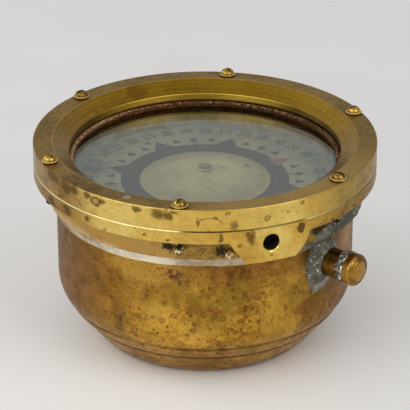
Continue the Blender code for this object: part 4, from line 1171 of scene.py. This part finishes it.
# Card: a thin ring of metal on the float's brim, painted pale and printed in dark blue with a
# rose of points, figures every ten degrees and a scale; a red mark shows north. Damp under the
# glass has clouded the paint.
CARD_RADIUS = 58.7 * MM
CARD_HOLE = 29.2 * MM
CARD_EDGE = 0.15 * MM
NORTH = math.radians(8.0)
PRINT_THICK = 0.05 * MM
PRINT_SUNK = 0.02 * MM
ROSE_INNER = 29.3 * MM
ROSE_OUTER = 37.5 * MM
POINT_TIP = 45.3 * MM
POINT_HALF = 5.4 * MM
POINT_SUNK = 0.6 * MM
NORTH_HALF = 4.6 * MM
NORTH_SUNK = 2.6 * MM
MARK_TIP = 45.0 * MM
MARK_LENGTH = 4.4 * MM
MARK_HALF = 2.1 * MM
CLUB_MARK = [(-7.4, -0.3), (-4.9, -0.3), (-2.9, -2.1), (0.4, 0.0), (-2.9, 2.1), (-4.9, 0.3), (-7.4, 0.3)]
FIGURE_RADIUS = 52.2 * MM
FIGURE_HEIGHT = 7.8 * MM
FIGURE_NARROW = 0.52
FIGURE_BOLD = 0.1 * MM
SCALE_OUTER = 58.1 * MM
SCALE_LONG = 2.6 * MM
SCALE_SHORT = 1.6 * MM
SCALE_HALF = 0.1 * MM

CARD_PALE = tone(173, 170, 128)
CARD_BLUE = tone(128, 145, 126)
CARD_BROWN = tone(150, 128, 98)
CARD_PINK = tone(172, 146, 124)
CARD_DAMP = tone(98, 114, 106)
CARD_FLECKS = [
    (103.0, 46.6, 1.7), (147.0, 48.8, 1.5), (137.7, 56.5, 1.2), (20.0, 47.5, 1.0), (-2.0, 49.0, 1.0),
]
PRINT_BLUE = tone(24, 29, 14)
PRINT_WORN = tone(66, 69, 44)
NORTH_RED = tone(142, 96, 82)
NORTH_WORN = tone(164, 120, 104)


def card_paint():
    """Pale grey-green paint, clouded blue and brown."""
    material, shader, place = finish("card_paint")
    blue = cloud(place, 19 * MM, 4.0).between(0.48, 0.64)
    brown = cloud(moved(place, (0.4, 0.2, 0.0)), 12 * MM, 5.0, 0.62).between(0.54, 0.68)
    colour = (0.9 * blue).mix(CARD_PALE, CARD_BLUE)
    colour = (0.75 * brown).mix(colour, CARD_BROWN)
    pink = cloud(moved(place, (0.1, 0.7, 0.0)), 16 * MM, 4.0, 0.6).between(0.52, 0.66)
    colour = (0.45 * pink).mix(colour, CARD_PINK)
    damp = cloud(place, 9 * MM, 4.0, 0.65).between(0.42, 0.6)
    damp = place.axis("X").between(-20 * MM, -50 * MM) * damp
    colour = (0.75 * damp).mix(colour, CARD_DAMP)
    flecks, _ = spots(ragged(place, 1.2 * MM, 1 * MM), 5 * MM, 0.14, 0.4)
    colour = (0.6 * flecks).mix(colour, CARD_BROWN)
    for azimuth, radius, reach in CARD_FLECKS:
        away = stain(ragged(place, 1 * MM, MM), azimuth, radius * MM, card_high.z, reach * MM)
        colour = (0.9 * away.between(1.1, 0.6)).mix(colour, FLECK_DARK)
    colour.feed(shader, "Base Color")
    (0.48 + 0.15 * brown).feed(shader, "Roughness")
    cloud(place, 1.5 * MM, 3.0).raise_skin(shader, 0.03 * MM)
    return material


def print_ink(name, ink, worn):
    """Printing ink rubbed thin in places."""
    return mottled(
        name, 0.0, ink, worn, patch=(4 * MM, 5.0, 0.65), limits=(0.45, 0.66),
        dull=(0.5, 0.15), grain=(1 * MM, 2.0), depth=0.01 * MM,
    )


def slab(shape, outline, bottom, top):
    """Adds a flat closed prism over this outline of (x, y) points to the shape."""
    below = [shape.verts.new((x, y, bottom)) for x, y in outline]
    above = [shape.verts.new((x, y, top)) for x, y in outline]
    shape.faces.new(below)
    shape.faces.new(above)
    for index in range(len(outline)):
        after = (index + 1) % len(outline)
        shape.faces.new((below[index], below[after], above[after], above[index]))


def ring_section(outer, inner, bottom, top):
    """Corners of a flat ring's section."""
    return [(outer, top), (outer, bottom), (inner, bottom), (inner, top)]


card_section = eased(ring_section(CARD_RADIUS, CARD_HOLE, card_low.z, card_high.z), CARD_EDGE)
settled("dial_card", turned(card_section), card_paint(), "card", ["compass_card"])

print_low = card_high.z - PRINT_SUNK
print_high = card_high.z + PRINT_THICK


def printed(shape, points, azimuth, top=print_high):
    """Adds a printed mark to the shape from (out, across) points, pointing outwards at this azimuth."""
    cosine = math.cos(azimuth)
    sine = math.sin(azimuth)
    outline = [(out * cosine - across * sine, out * sine + across * cosine) for out, across in points]
    slab(shape, outline, print_low, top)


def pointed(base, tip, half):
    """(out, across) corners of a triangle that points outwards."""
    return [(base, -half), (tip, 0.0), (base, half)]


rose = turned(ring_section(ROSE_OUTER, ROSE_INNER, print_low, print_high))
rose_point = pointed(ROSE_OUTER - POINT_SUNK, POINT_TIP, POINT_HALF)
small_mark = pointed(MARK_TIP - MARK_LENGTH, MARK_TIP, MARK_HALF)
club_mark = [(MARK_TIP + out * MM, across * MM) for out, across in CLUB_MARK]
for index in range(1, 32):
    mark = small_mark if index % 2 else club_mark
    printed(rose, mark if index % 4 else rose_point, NORTH - math.tau * index / 32)
for degree in range(0, 360, 2):
    start = SCALE_OUTER - (SCALE_SHORT if degree % 10 else SCALE_LONG)
    tick = [(start, -SCALE_HALF), (SCALE_OUTER, -SCALE_HALF), (SCALE_OUTER, SCALE_HALF), (start, SCALE_HALF)]
    printed(rose, tick, NORTH - math.radians(degree))
for degree in range(0, 360, 10):
    letters = bpy.data.curves.new("figure", "FONT")
    letters.body = f"{degree:03d}"
    letters.align_x = "CENTER"
    letters.align_y = "CENTER"
    letters.size = FIGURE_HEIGHT
    letters.offset = FIGURE_BOLD
    letters.extrude = (print_high - print_low) / 2
    letters.resolution_u = 3
    figure = bpy.data.objects.new("figure", letters)
    mesh = bpy.data.meshes.new_from_object(figure)
    azimuth = NORTH - math.radians(degree)
    stand = Matrix.Translation(spot_at(FIGURE_RADIUS, azimuth, (print_low + print_high) / 2))
    stand = stand @ Matrix.Rotation(azimuth - math.pi / 2, 4, "Z")
    mesh.transform(stand @ Matrix.Scale(FIGURE_NARROW, 4, (1, 0, 0)))
    rose.from_mesh(mesh)
    bpy.data.meshes.remove(mesh)
    bpy.data.objects.remove(figure)
    bpy.data.curves.remove(letters)
settled("dial_print", rose, print_ink("blue_print", PRINT_BLUE, PRINT_WORN), "card")

north = bmesh.new()
north_point = pointed(ROSE_OUTER - NORTH_SUNK, POINT_TIP, NORTH_HALF)
printed(north, north_point, NORTH, print_high + PRINT_SUNK)
red_ink = print_ink("red_print", NORTH_RED, NORTH_WORN)
settled("north_mark", north, red_ink, "card")

# Pivot cap: a small turned brass housing through the top of the float, with the jewel that runs
# on the needle let into it from below.
CROWN_WIDTH = 2.7 * MM
BRIM_WIDTH = 4.0 * MM
BRIM_THICK = 0.5 * MM
STEM_RADIUS = 2.9 * MM
STEM_BORE = 2.1 * MM

housing_low, housing_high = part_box("jewel_housing")
housing_seat = dome_top + SEAT_GAP
housing_outline = [
    (0.0, housing_high.z),
    (CROWN_WIDTH, housing_high.z),
    (CROWN_WIDTH, housing_seat + BRIM_THICK),
    (BRIM_WIDTH, housing_seat + BRIM_THICK),
    (BRIM_WIDTH, housing_seat),
    (STEM_RADIUS, housing_seat),
    (STEM_RADIUS, housing_low.z),
    (STEM_BORE, housing_low.z),
    (STEM_BORE, housing_seat),
    (0.0, housing_seat),
]
CAP_RIM = tone(112, 88, 50)
CAP_TOP = tone(150, 128, 82)
JEWEL_RED = tone(170, 40, 60)
JEWEL_PALE = tone(196, 84, 96)


def pivot_cap_finish():
    """Brown turned brass, its top paler and its brim painted cream with the float."""
    material, shader, place = finish("pivot_cap_finish")
    radius = from_axis(place)
    painted = (radius + 0.6 * MM * cloud(place, 1.5 * MM)).between(3.0 * MM, 2.6 * MM)
    brim = radius.between(2.8 * MM, 3.0 * MM)
    brim.mix(painted.mix(CAP_RIM, CAP_TOP), CREAM_GREEN).feed(shader, "Base Color")
    (0.6 - 0.6 * painted - 0.6 * brim).feed(shader, "Metallic")
    cloud(place, 0.6 * MM, 2.0).raise_skin(shader, 0.02 * MM)
    return material


housing = turned(eased(housing_outline, 0.12 * MM), 64)
settled("pivot_cap", housing, pivot_cap_finish(), "card", ["jewel_housing"])


def jewel():
    """Polished red stone with a faint cloud in it."""
    material, shader, place = finish("red_jewel", {"Transmission Weight": 0.6})
    haze = cloud(place, 0.8 * MM, 3.0).between(0.4, 0.65)
    haze.mix(JEWEL_RED, JEWEL_PALE).feed(shader, "Base Color")
    (0.04 + 0.08 * haze).feed(shader, "Roughness")
    return material


dressed(jewel(), "jewel_cup")

# Glass and packings: plate glass with ground edges between two rings of packing. The upper ring
# has dried, gone red-brown and squeezed up inside the window, and its edge glitters with grains.
GLASS_EDGE = 0.5 * MM
GLASS_GREEN = (0.93, 0.97, 0.95, 1.0)
PACKING_STEP = 59.7 * MM
PACKING_INNER = 58.2 * MM
PACKING_LIP = 0.7 * MM
PACKING_SQUEEZE = 0.45 * MM

glass_low, glass_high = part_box("cover_glass")
packing_low, packing_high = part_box("upper_packing")
packing_crest = packing_high.z + PACKING_SQUEEZE


def plate_glass():
    """Clear glass, faintly green, with old smears."""
    clear = {"Transmission Weight": 1.0, "IOR": 1.52, "Specular IOR Level": 0.16, "Base Color": GLASS_GREEN}
    material, shader, place = finish("plate_glass", clear)
    smears = cloud(place, 14 * MM, 4.0, 0.6).between(0.5, 0.7)
    (0.01 + 0.05 * smears).feed(shader, "Roughness")
    return material


glass_outline = [
    (0.0, glass_high.z),
    (glass_high.x, glass_high.z),
    (glass_high.x, glass_low.z),
    (0.0, glass_low.z),
]
glass_edge = eased(glass_outline, GLASS_EDGE)[4:-4]
glass_shape = turned([glass_outline[0]] + glass_edge + [glass_outline[-1]], 192)
settled("window_plate", glass_shape, plate_glass(), nodes=["cover_glass"])

PACKING_BROWN = tone(122, 72, 28)
PACKING_DARK = tone(72, 43, 17)
PACKING_SHADE = tone(56, 36, 16)
PACKING_GRAIN = tone(222, 186, 142)


def dry_packing():
    """Dry red-brown packing with dark crumbs, its top edge pale with glittering grains."""
    material, shader, place = finish("dry_packing", {"Specular IOR Level": 0.15})
    x = place.axis("X")
    crumbs = cloud(place, 1.6 * MM, 6.0, 0.75).between(0.42, 0.58)
    grains, _ = spots(ragged(place, 0.5 * MM, 0.6 * MM), 1.5 * MM, 0.26, 0.3)
    crest = place.axis("Z").between(packing_crest - 1.3 * MM, packing_crest - 0.6 * MM)
    specks = cloud(moved(place, (0.3, 0.3, 0.3)), 0.9 * MM, 3.0, 0.65)
    left = x.between(-5 * MM, -45 * MM)
    pale = crest * (0.9 * specks.between(0.55, 0.6) + left * specks.between(0.42, 0.56))
    colour = crumbs.mix(PACKING_BROWN, PACKING_DARK)
    colour = (0.6 * x.between(-10 * MM, 35 * MM)).mix(colour, PACKING_SHADE)
    (0.7 * grains + 0.8 * pale).mix(colour, PACKING_GRAIN).feed(shader, "Base Color")
    (0.85 - 0.4 * grains - 0.2 * pale).feed(shader, "Roughness")
    (0.7 * crumbs + 0.5 * grains).raise_skin(shader, 0.3 * MM)
    return material


packing_finish = dry_packing()
dressed(packing_finish, "lower_gasket")


def packing_outline(turn):
    """Section of the upper packing, its squeezed lip crumbled unevenly."""
    around = Vector(spot_at(1.0, turn, 0.0))
    inner = PACKING_INNER + 0.16 * MM * noise.noise(around * 24) + 0.1 * MM * noise.noise(around * 61)
    crumbled = 0.9 + 0.5 * noise.noise(around * 19) + 0.4 * noise.noise(around * 47)
    lip = packing_crest - 0.2 * MM * crumbled
    flat = packing_high.z - PACKING_LIP
    return [
        (packing_high.x, flat),
        (packing_high.x, packing_low.z),
        (inner, packing_low.z),
        (inner - 0.1 * MM, (packing_low.z + lip) / 2),
        (inner + 0.25 * MM, lip - 0.15 * MM),
        (inner + 0.7 * MM, lip),
        (PACKING_STEP, lip - 0.1 * MM),
        (PACKING_STEP, flat),
    ]


settled("squeezed_packing", turned(packing_outline, 480), packing_finish, nodes=["upper_packing"])

# Bezel: a heavy turned brass ring that clamps the glass. Its edge is worn and spotted, and painted
# paler at the left and front as highlight; its top has dulled to brown, and the bevel down to the
# window keeps the lines of the lathe, with painted highlight and shade on bevel and bore.
BEVEL_TOP = 67.5 * MM
BEVEL_DROP = 4.8 * MM
WINDOW_RADIUS = 60.0 * MM
BEZEL_REBATE = 66.0 * MM
REBATE_TOP = 83.65 * MM
JOINT_SHOWS = 0.13 * MM
BEZEL_EDGE = 0.5 * MM

bezel_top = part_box("bezel_ring")[1].z
bezel_foot = flange_high.z + JOINT_SHOWS
bezel_corners = [
    (rim_radius, bezel_foot),
    (rim_radius, bezel_top),
    (BEVEL_TOP, bezel_top),
    (WINDOW_RADIUS, bezel_top - BEVEL_DROP),
    (WINDOW_RADIUS, REBATE_TOP),
    (BEZEL_REBATE, REBATE_TOP),
    (BEZEL_REBATE, bezel_foot),
    (rim_radius - 0.4 * MM, bezel_foot),
]
screw_drills = [screw_drill(index) for index in range(BEZEL_SCREWS)]
bezel_shape = carved(turned(eased(bezel_corners, BEZEL_EDGE)), screw_drills, 0.0)
TOP_BROWN = tone(158, 126, 58)
TOP_PAINTED_LIGHT = tone(194, 158, 82)
TOP_DARK = tone(110, 86, 38)
BEVEL_OLIVE = tone(174, 136, 28)
BEVEL_DARK = tone(110, 80, 18)
GOLD_HIGHLIGHT = tone(222, 180, 70)
BORE_SHADE = tone(120, 94, 30)
VERDIGRIS = tone(134, 146, 108)
TOP_DIRT = [(-162.0, 92.5, 7.0, 1.0), (-152.0, 92.5, 5.0, 1.0), (-176.0, 92.5, 5.0, 1.0)]
BEZEL_STAINS = [
    (-126.3, 89.8, 3.0, 0.75), (-123.6, 89.2, 2.2, 0.8), (-121.3, 90.9, 1.5, 0.5), (-133.7, 90.6, 2.2, 0.6),
    (-162.4, 89.8, 3.2, 0.9), (-158.6, 90.8, 3.0, 0.6), (-114.1, 86.9, 0.7, 2.8), (-108.3, 89.2, 1.0, 0.8),
    (-102.4, 85.2, 1.6, 1.3), (-79.3, 90.6, 1.0, 0.8), (-84.4, 88.0, 0.8, 0.7), (-100.5, 90.2, 0.6, 0.7),
    (-171.0, 91.2, 5.0, 0.4), (-152.4, 90.8, 2.0, 0.7), (-146.0, 90.4, 1.6, 0.8),
]
BEZEL_DROPS = [(-148.8, 89.6, 2.6, 0.8), (-91.6, 86.8, 1.2, 1.0), (-104.5, 90.6, 1.1, 0.8)]
TIDE_MARK = [(-110.1, 85.1, 5.7, 0.7)]
BEVEL_CLOUD = [(98.3, 90.2, 5.5, 1.0)]
LIT_SIDE = Vector((0.25, -0.97, 0.0))
BORE_HIGHLIGHT_SIDE = spot_at(1.0, math.radians(76), 0.0)


def bezel_brass():
    """Bright spotted edge, dull brown top, olive bevel with lathe lines, painted highlight and shade on
    bevel and bore.
    """
    material, shader, place = finish("bezel_brass", {"Coat Weight": 0.12, "Coat Roughness": 0.15})
    x = place.axis("X")
    height = place.axis("Z")
    radius = from_axis(place)
    rough_place = ragged(place, 1.4 * MM, 1.2 * MM)
    edge, edge_dull, marks = bright_rim(place, (0.1, 0.05, 0.2), BEZEL_STAINS, BEZEL_DROPS)
    tide = nearest(ragged(place, 4 * MM, 1.5 * MM), rim_radius, TIDE_MARK)
    tide = tide.between(1.06, 1.0) * tide.between(0.88, 0.97) * height.between(85.6 * MM, 87.0 * MM)
    edge = (0.75 * tide).mix(edge, SPOT_BROWN)
    lines = cloud(place.node("CombineXYZ", {}, {0: radius, 1: height}), 0.5 * MM, 3.0, 0.7)
    grain = cloud(moved(place, (0.6, 0.2, 0.4)), 0.9 * MM, 3.0, 0.7)
    patch = 0.4 * cloud(place, 17 * MM, 4.0) + 0.35 * cloud(place, 2.2 * MM, 5.0, 0.65) + 0.25 * grain
    patch = patch.between(0.42, 0.6)
    top = (0.8 * patch).mix(TOP_BROWN, TOP_DARK)
    # Painted light: the top and the edge are paler towards the lit side.
    ahead = along(place, LIT_SIDE)
    top = (0.55 * ahead.between(40 * MM, 72 * MM)).mix(top, TOP_PAINTED_LIGHT)
    edge = (0.16 * ahead.between(52 * MM, 74 * MM)).mix(edge, PALE_GOLD)
    # A darker brown ring round the foot of each screw head.
    turn = x.math("PINGPONG", x.math("ARCTAN2", place.axis("Y"), x), math.pi / BEZEL_SCREWS)
    past = radius * turn.math("COSINE", turn) - SCREW_CIRCLE
    aside = radius * turn.math("SINE", turn)
    darkening = (past * past + aside * aside).between(30 * MM * MM, 12 * MM * MM)
    top = (0.6 * darkening).mix(top, SPOT_BROWN)
    dirt_and_shade = nearest(ragged(rough_place, 4 * MM, 4 * MM), 73 * MM, TOP_DIRT).between(1.15, 0.5)
    top = (0.6 * dirt_and_shade * (0.4 + patch)).mix(top, SPOT_BROWN)
    green = stain(rough_place, -139.2, 70.8 * MM, bezel_top, 2.2 * MM).between(1.1, 0.5)
    top = (0.65 * green).mix(top, VERDIGRIS)
    bevel = (0.4 * patch + 0.5 * lines.between(0.35, 0.65)).mix(BEVEL_OLIVE, BEVEL_DARK)
    # Painted highlight: the bevel goes gold towards the right.
    bevel = (0.14 * x.between(46 * MM, 64 * MM)).mix(bevel, GOLD_HIGHLIGHT)
    bevel = (0.3 * x.between(-30 * MM, -62 * MM)).mix(bevel, SPOT_BROWN)
    dark = nearest(ragged(rough_place, 5 * MM, 4 * MM), 64 * MM, BEVEL_CLOUD).between(1.1, 0.6)
    bevel = (0.45 * dark).mix(bevel, SPOT_BROWN)
    bore_top = bezel_top - BEVEL_DROP
    bore = height.between(bore_top + 0.3 * MM, bore_top - 0.1 * MM)
    # Painted highlight and shade: the bore is gold on one side and dark elsewhere.
    bore_highlight = along(place, BORE_HIGHLIGHT_SIDE).between(36 * MM, 55 * MM)
    bevel = bore.mix(bevel, bore_highlight.mix(BORE_SHADE, GOLD_HIGHLIGHT))
    # Painted shade: the foot of the bore beside the packing is darker, most towards the right.
    foot = bore * height.between(REBATE_TOP + 2.0 * MM, REBATE_TOP + 0.9 * MM)
    bevel = (foot * (0.15 + 0.7 * x.between(-36 * MM, -8 * MM))).mix(bevel, GROOVE_DIRT_AND_SHADE)
    freckles, _ = spots(rough_place, 3.4 * MM, 0.19, 0.4)
    flat = height.between(bezel_top - 0.5 * MM, bezel_top - 0.1 * MM)
    upper = (0.75 * freckles * (1 - bore)).mix(flat.mix(bevel, top), SPOT_BROWN)
    # Painted highlight: a gold line along the edge between top and bevel.
    crest = abs(radius - BEVEL_TOP).between(0.45 * MM, 0.15 * MM)
    upper = (0.3 * crest).mix(upper, GOLD_HIGHLIGHT)
    side = radius.between(rim_radius - 0.55 * MM, rim_radius - 0.25 * MM)
    side.mix(upper, edge).feed(shader, "Base Color")
    upper_dull = 0.3 + 0.16 * flat + 0.1 * patch * (1 - bore)
    (upper_dull + side * (edge_dull - upper_dull)).feed(shader, "Roughness")
    (1.0 - 0.8 * green).feed(shader, "Metallic")
    skin = (1.0 - 0.95 * bore) * (0.5 * lines + 0.3 * grain - 0.4 * freckles) - 0.4 * marks * side
    skin.raise_skin(shader, 0.035 * MM)
    return material


settled("turned_bezel", bezel_shape, bezel_brass(), nodes=["bezel_ring"])

# Bezel screws: six round-headed brass screws through bezel and flange, with sawn slots. Their
# crowns are rubbed gold, the feet of the heads are dark, and the points show under the flange.
HEAD_RADIUS = 3.65 * MM
HEAD_RIM = 0.6 * MM
CROWN_RADIUS = 3.0 * MM
SHANK_RADIUS = 2.0 * MM
SHANK_POINT = 0.8 * MM
SLOT_WIDTH = 1.0 * MM
SLOT_DEPTH = 1.2 * MM
SLOT_TURN = math.radians(41)
SLOT_WEAR = 0.08 * MM
CROWN_STEPS = 10

screw_low, screw_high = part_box("bezel_screw_1")
head_seat = bezel_top + SEAT_GAP
crown_foot = head_seat + HEAD_RIM
SCREW_GOLD = tone(192, 156, 70)
SCREW_BROWN = tone(100, 72, 34)
SCREW_EDGE = tone(250, 222, 140)
SCREW_TINNED = tone(190, 166, 110)


def screw_brass():
    """Brass gone brown, gold on the rim of the head, and tinned at the point."""
    material, shader, place = finish("screw_brass", {"Metallic": 1.0})
    height = place.axis("Z")
    rubbed_and_highlit = (cloud(place, 11 * MM, 3.0) + 0.6 * cloud(place, 1.3 * MM, 4.0)).between(0.62, 0.9)
    rim = height.between(crown_foot + 0.15 * MM, crown_foot)
    rim = rim * height.between(head_seat + 0.1 * MM, head_seat + 0.3 * MM)
    colour = rubbed_and_highlit.mix(SCREW_BROWN, SCREW_GOLD)
    colour = (0.5 * rim).mix(colour, SCREW_EDGE)
    below = height.between(flange_bottom + 0.5 * MM, flange_bottom - 0.5 * MM)
    crusted = cloud(place, 1.2 * MM, 4.0).between(0.5, 0.62).mix(PIT_BLACK, SCREW_TINNED)
    below.mix(colour, crusted).feed(shader, "Base Color")
    (0.32 - 0.1 * rubbed_and_highlit).feed(shader, "Roughness")
    cloud(place, 0.8 * MM, 3.0).raise_skin(shader, 0.05 * MM)
    return material


screw_outline = [(0.0, screw_high.z)]
for step in range(1, CROWN_STEPS + 1):
    bend = math.pi / 2 * step / CROWN_STEPS
    crown_z = crown_foot + (screw_high.z - crown_foot) * math.cos(bend)
    screw_outline.append((CROWN_RADIUS * math.sin(bend), crown_z))
screw_outline += [
    (CROWN_RADIUS + 0.05 * MM, crown_foot - 0.15 * MM),
    (HEAD_RADIUS - 0.2 * MM, crown_foot - 0.2 * MM),
    (HEAD_RADIUS, head_seat + HEAD_RIM / 2),
    (HEAD_RADIUS - 0.1 * MM, head_seat),
    (SHANK_RADIUS, head_seat),
    (SHANK_RADIUS, screw_low.z + SHANK_POINT),
    (SHANK_RADIUS - SHANK_POINT, screw_low.z),
    (0.0, screw_low.z),
]
saw = bmesh.new()
saw_reach = HEAD_RADIUS + 2 * MM
saw_half = SLOT_WIDTH / 2
saw_outline = [
    (-saw_reach, -saw_half), (saw_reach, -saw_half), (saw_reach, saw_half), (-saw_reach, saw_half),
]
slab(saw, saw_outline, screw_high.z - SLOT_DEPTH, screw_high.z + MM)
sawn_screw = carved(turned(screw_outline, 48), [saw], SLOT_WEAR)
screw_finish = screw_brass()
for index in range(BEZEL_SCREWS):
    screw = sawn_screw.copy()
    stand = Matrix.Rotation(math.tau * index / BEZEL_SCREWS, 4, "Z")
    stand = stand @ Matrix.Translation((SCREW_CIRCLE, 0.0, 0.0))
    stand = stand @ Matrix.Rotation(SLOT_TURN * index, 4, "Z")
    bmesh.ops.transform(screw, matrix=stand, verts=screw.verts)
    node = f"bezel_screw_{index + 1}"
    settled(f"round_head_{index + 1}", screw, screw_finish, nodes=[node])
sawn_screw.free()

# Table and light: a flat sheet of pale paper in a grey room, under three soft lamps: a large one
# at the left, a small one at the back and a fill from the front right.
TABLE_REACH = 3.0
ROOM_GREY = (0.53, 0.53, 0.533, 1.0)
PAPER = tone(226, 225, 224)
PAPER_TOOTH = tone(229, 228, 227)
LIT_PAPER = tone(246, 245, 242)


def paper_sweep():
    """Pale matt paper with the faintest tooth, paler round the compass."""
    material, shader, place = finish("paper", {"Roughness": 0.8, "Specular IOR Level": 0.2})
    tooth = cloud(place, 60 * MM, 3.0).between(0.3, 0.7)
    away = place.vector("LENGTH", place, output="Value")
    colour = tooth.mix(PAPER, PAPER_TOOTH)
    away.between(0.22, 0.06).mix(colour, LIT_PAPER).feed(shader, "Base Color")
    return material


table = bmesh.new()
bmesh.ops.create_grid(table, x_segments=2, y_segments=2, size=TABLE_REACH)
table_mesh = bpy.data.meshes.new("table")
table.to_mesh(table_mesh)
table.free()
table_mesh.materials.append(paper_sweep())
table_top = bpy.data.objects.new("table", table_mesh)
bpy.context.scene.collection.objects.link(table_top)

room = bpy.data.worlds.new("room")
bpy.context.scene.world = room
room.use_nodes = True
room.node_tree.nodes["Background"].inputs["Color"].default_value = ROOM_GREY


def soft_lamp(name, spot, width, height, power):
    """A soft lamp aimed at the compass."""
    lamp = bpy.data.lights.new(name, "AREA")
    lamp.shape = "RECTANGLE"
    lamp.size = width
    lamp.size_y = height
    lamp.energy = power
    holder = bpy.data.objects.new(name, lamp)
    holder.location = spot
    aim = Vector((0.0, 0.0, 0.05)) - Vector(spot)
    holder.rotation_euler = aim.to_track_quat("-Z", "Y").to_euler()
    bpy.context.scene.collection.objects.link(holder)


soft_lamp("left_window", (-1.5, -0.5, 1.4), 2.4, 1.8, 17.0)
soft_lamp("back_window", (-1.2, 1.0, 1.0), 1.0, 0.8, 4.0)
soft_lamp("front_fill", (0.8, -1.5, 1.6), 1.6, 1.6, 13.0)

# Camera: a long lens, a little above the rim, with the filler neck to the right.
camera_data = bpy.data.cameras.new("camera")
camera_data.sensor_width = 36.0
camera_data.lens = 210.73
camera = bpy.data.objects.new("camera", camera_data)
camera.location = (-0.3574, -0.9019, 0.5215)
camera.rotation_euler = (math.radians(64.511), 0.0, math.radians(-21.616))
bpy.context.scene.collection.objects.link(camera)
bpy.context.scene.camera = camera
bpy.context.scene.view_settings.view_transform = "Standard"
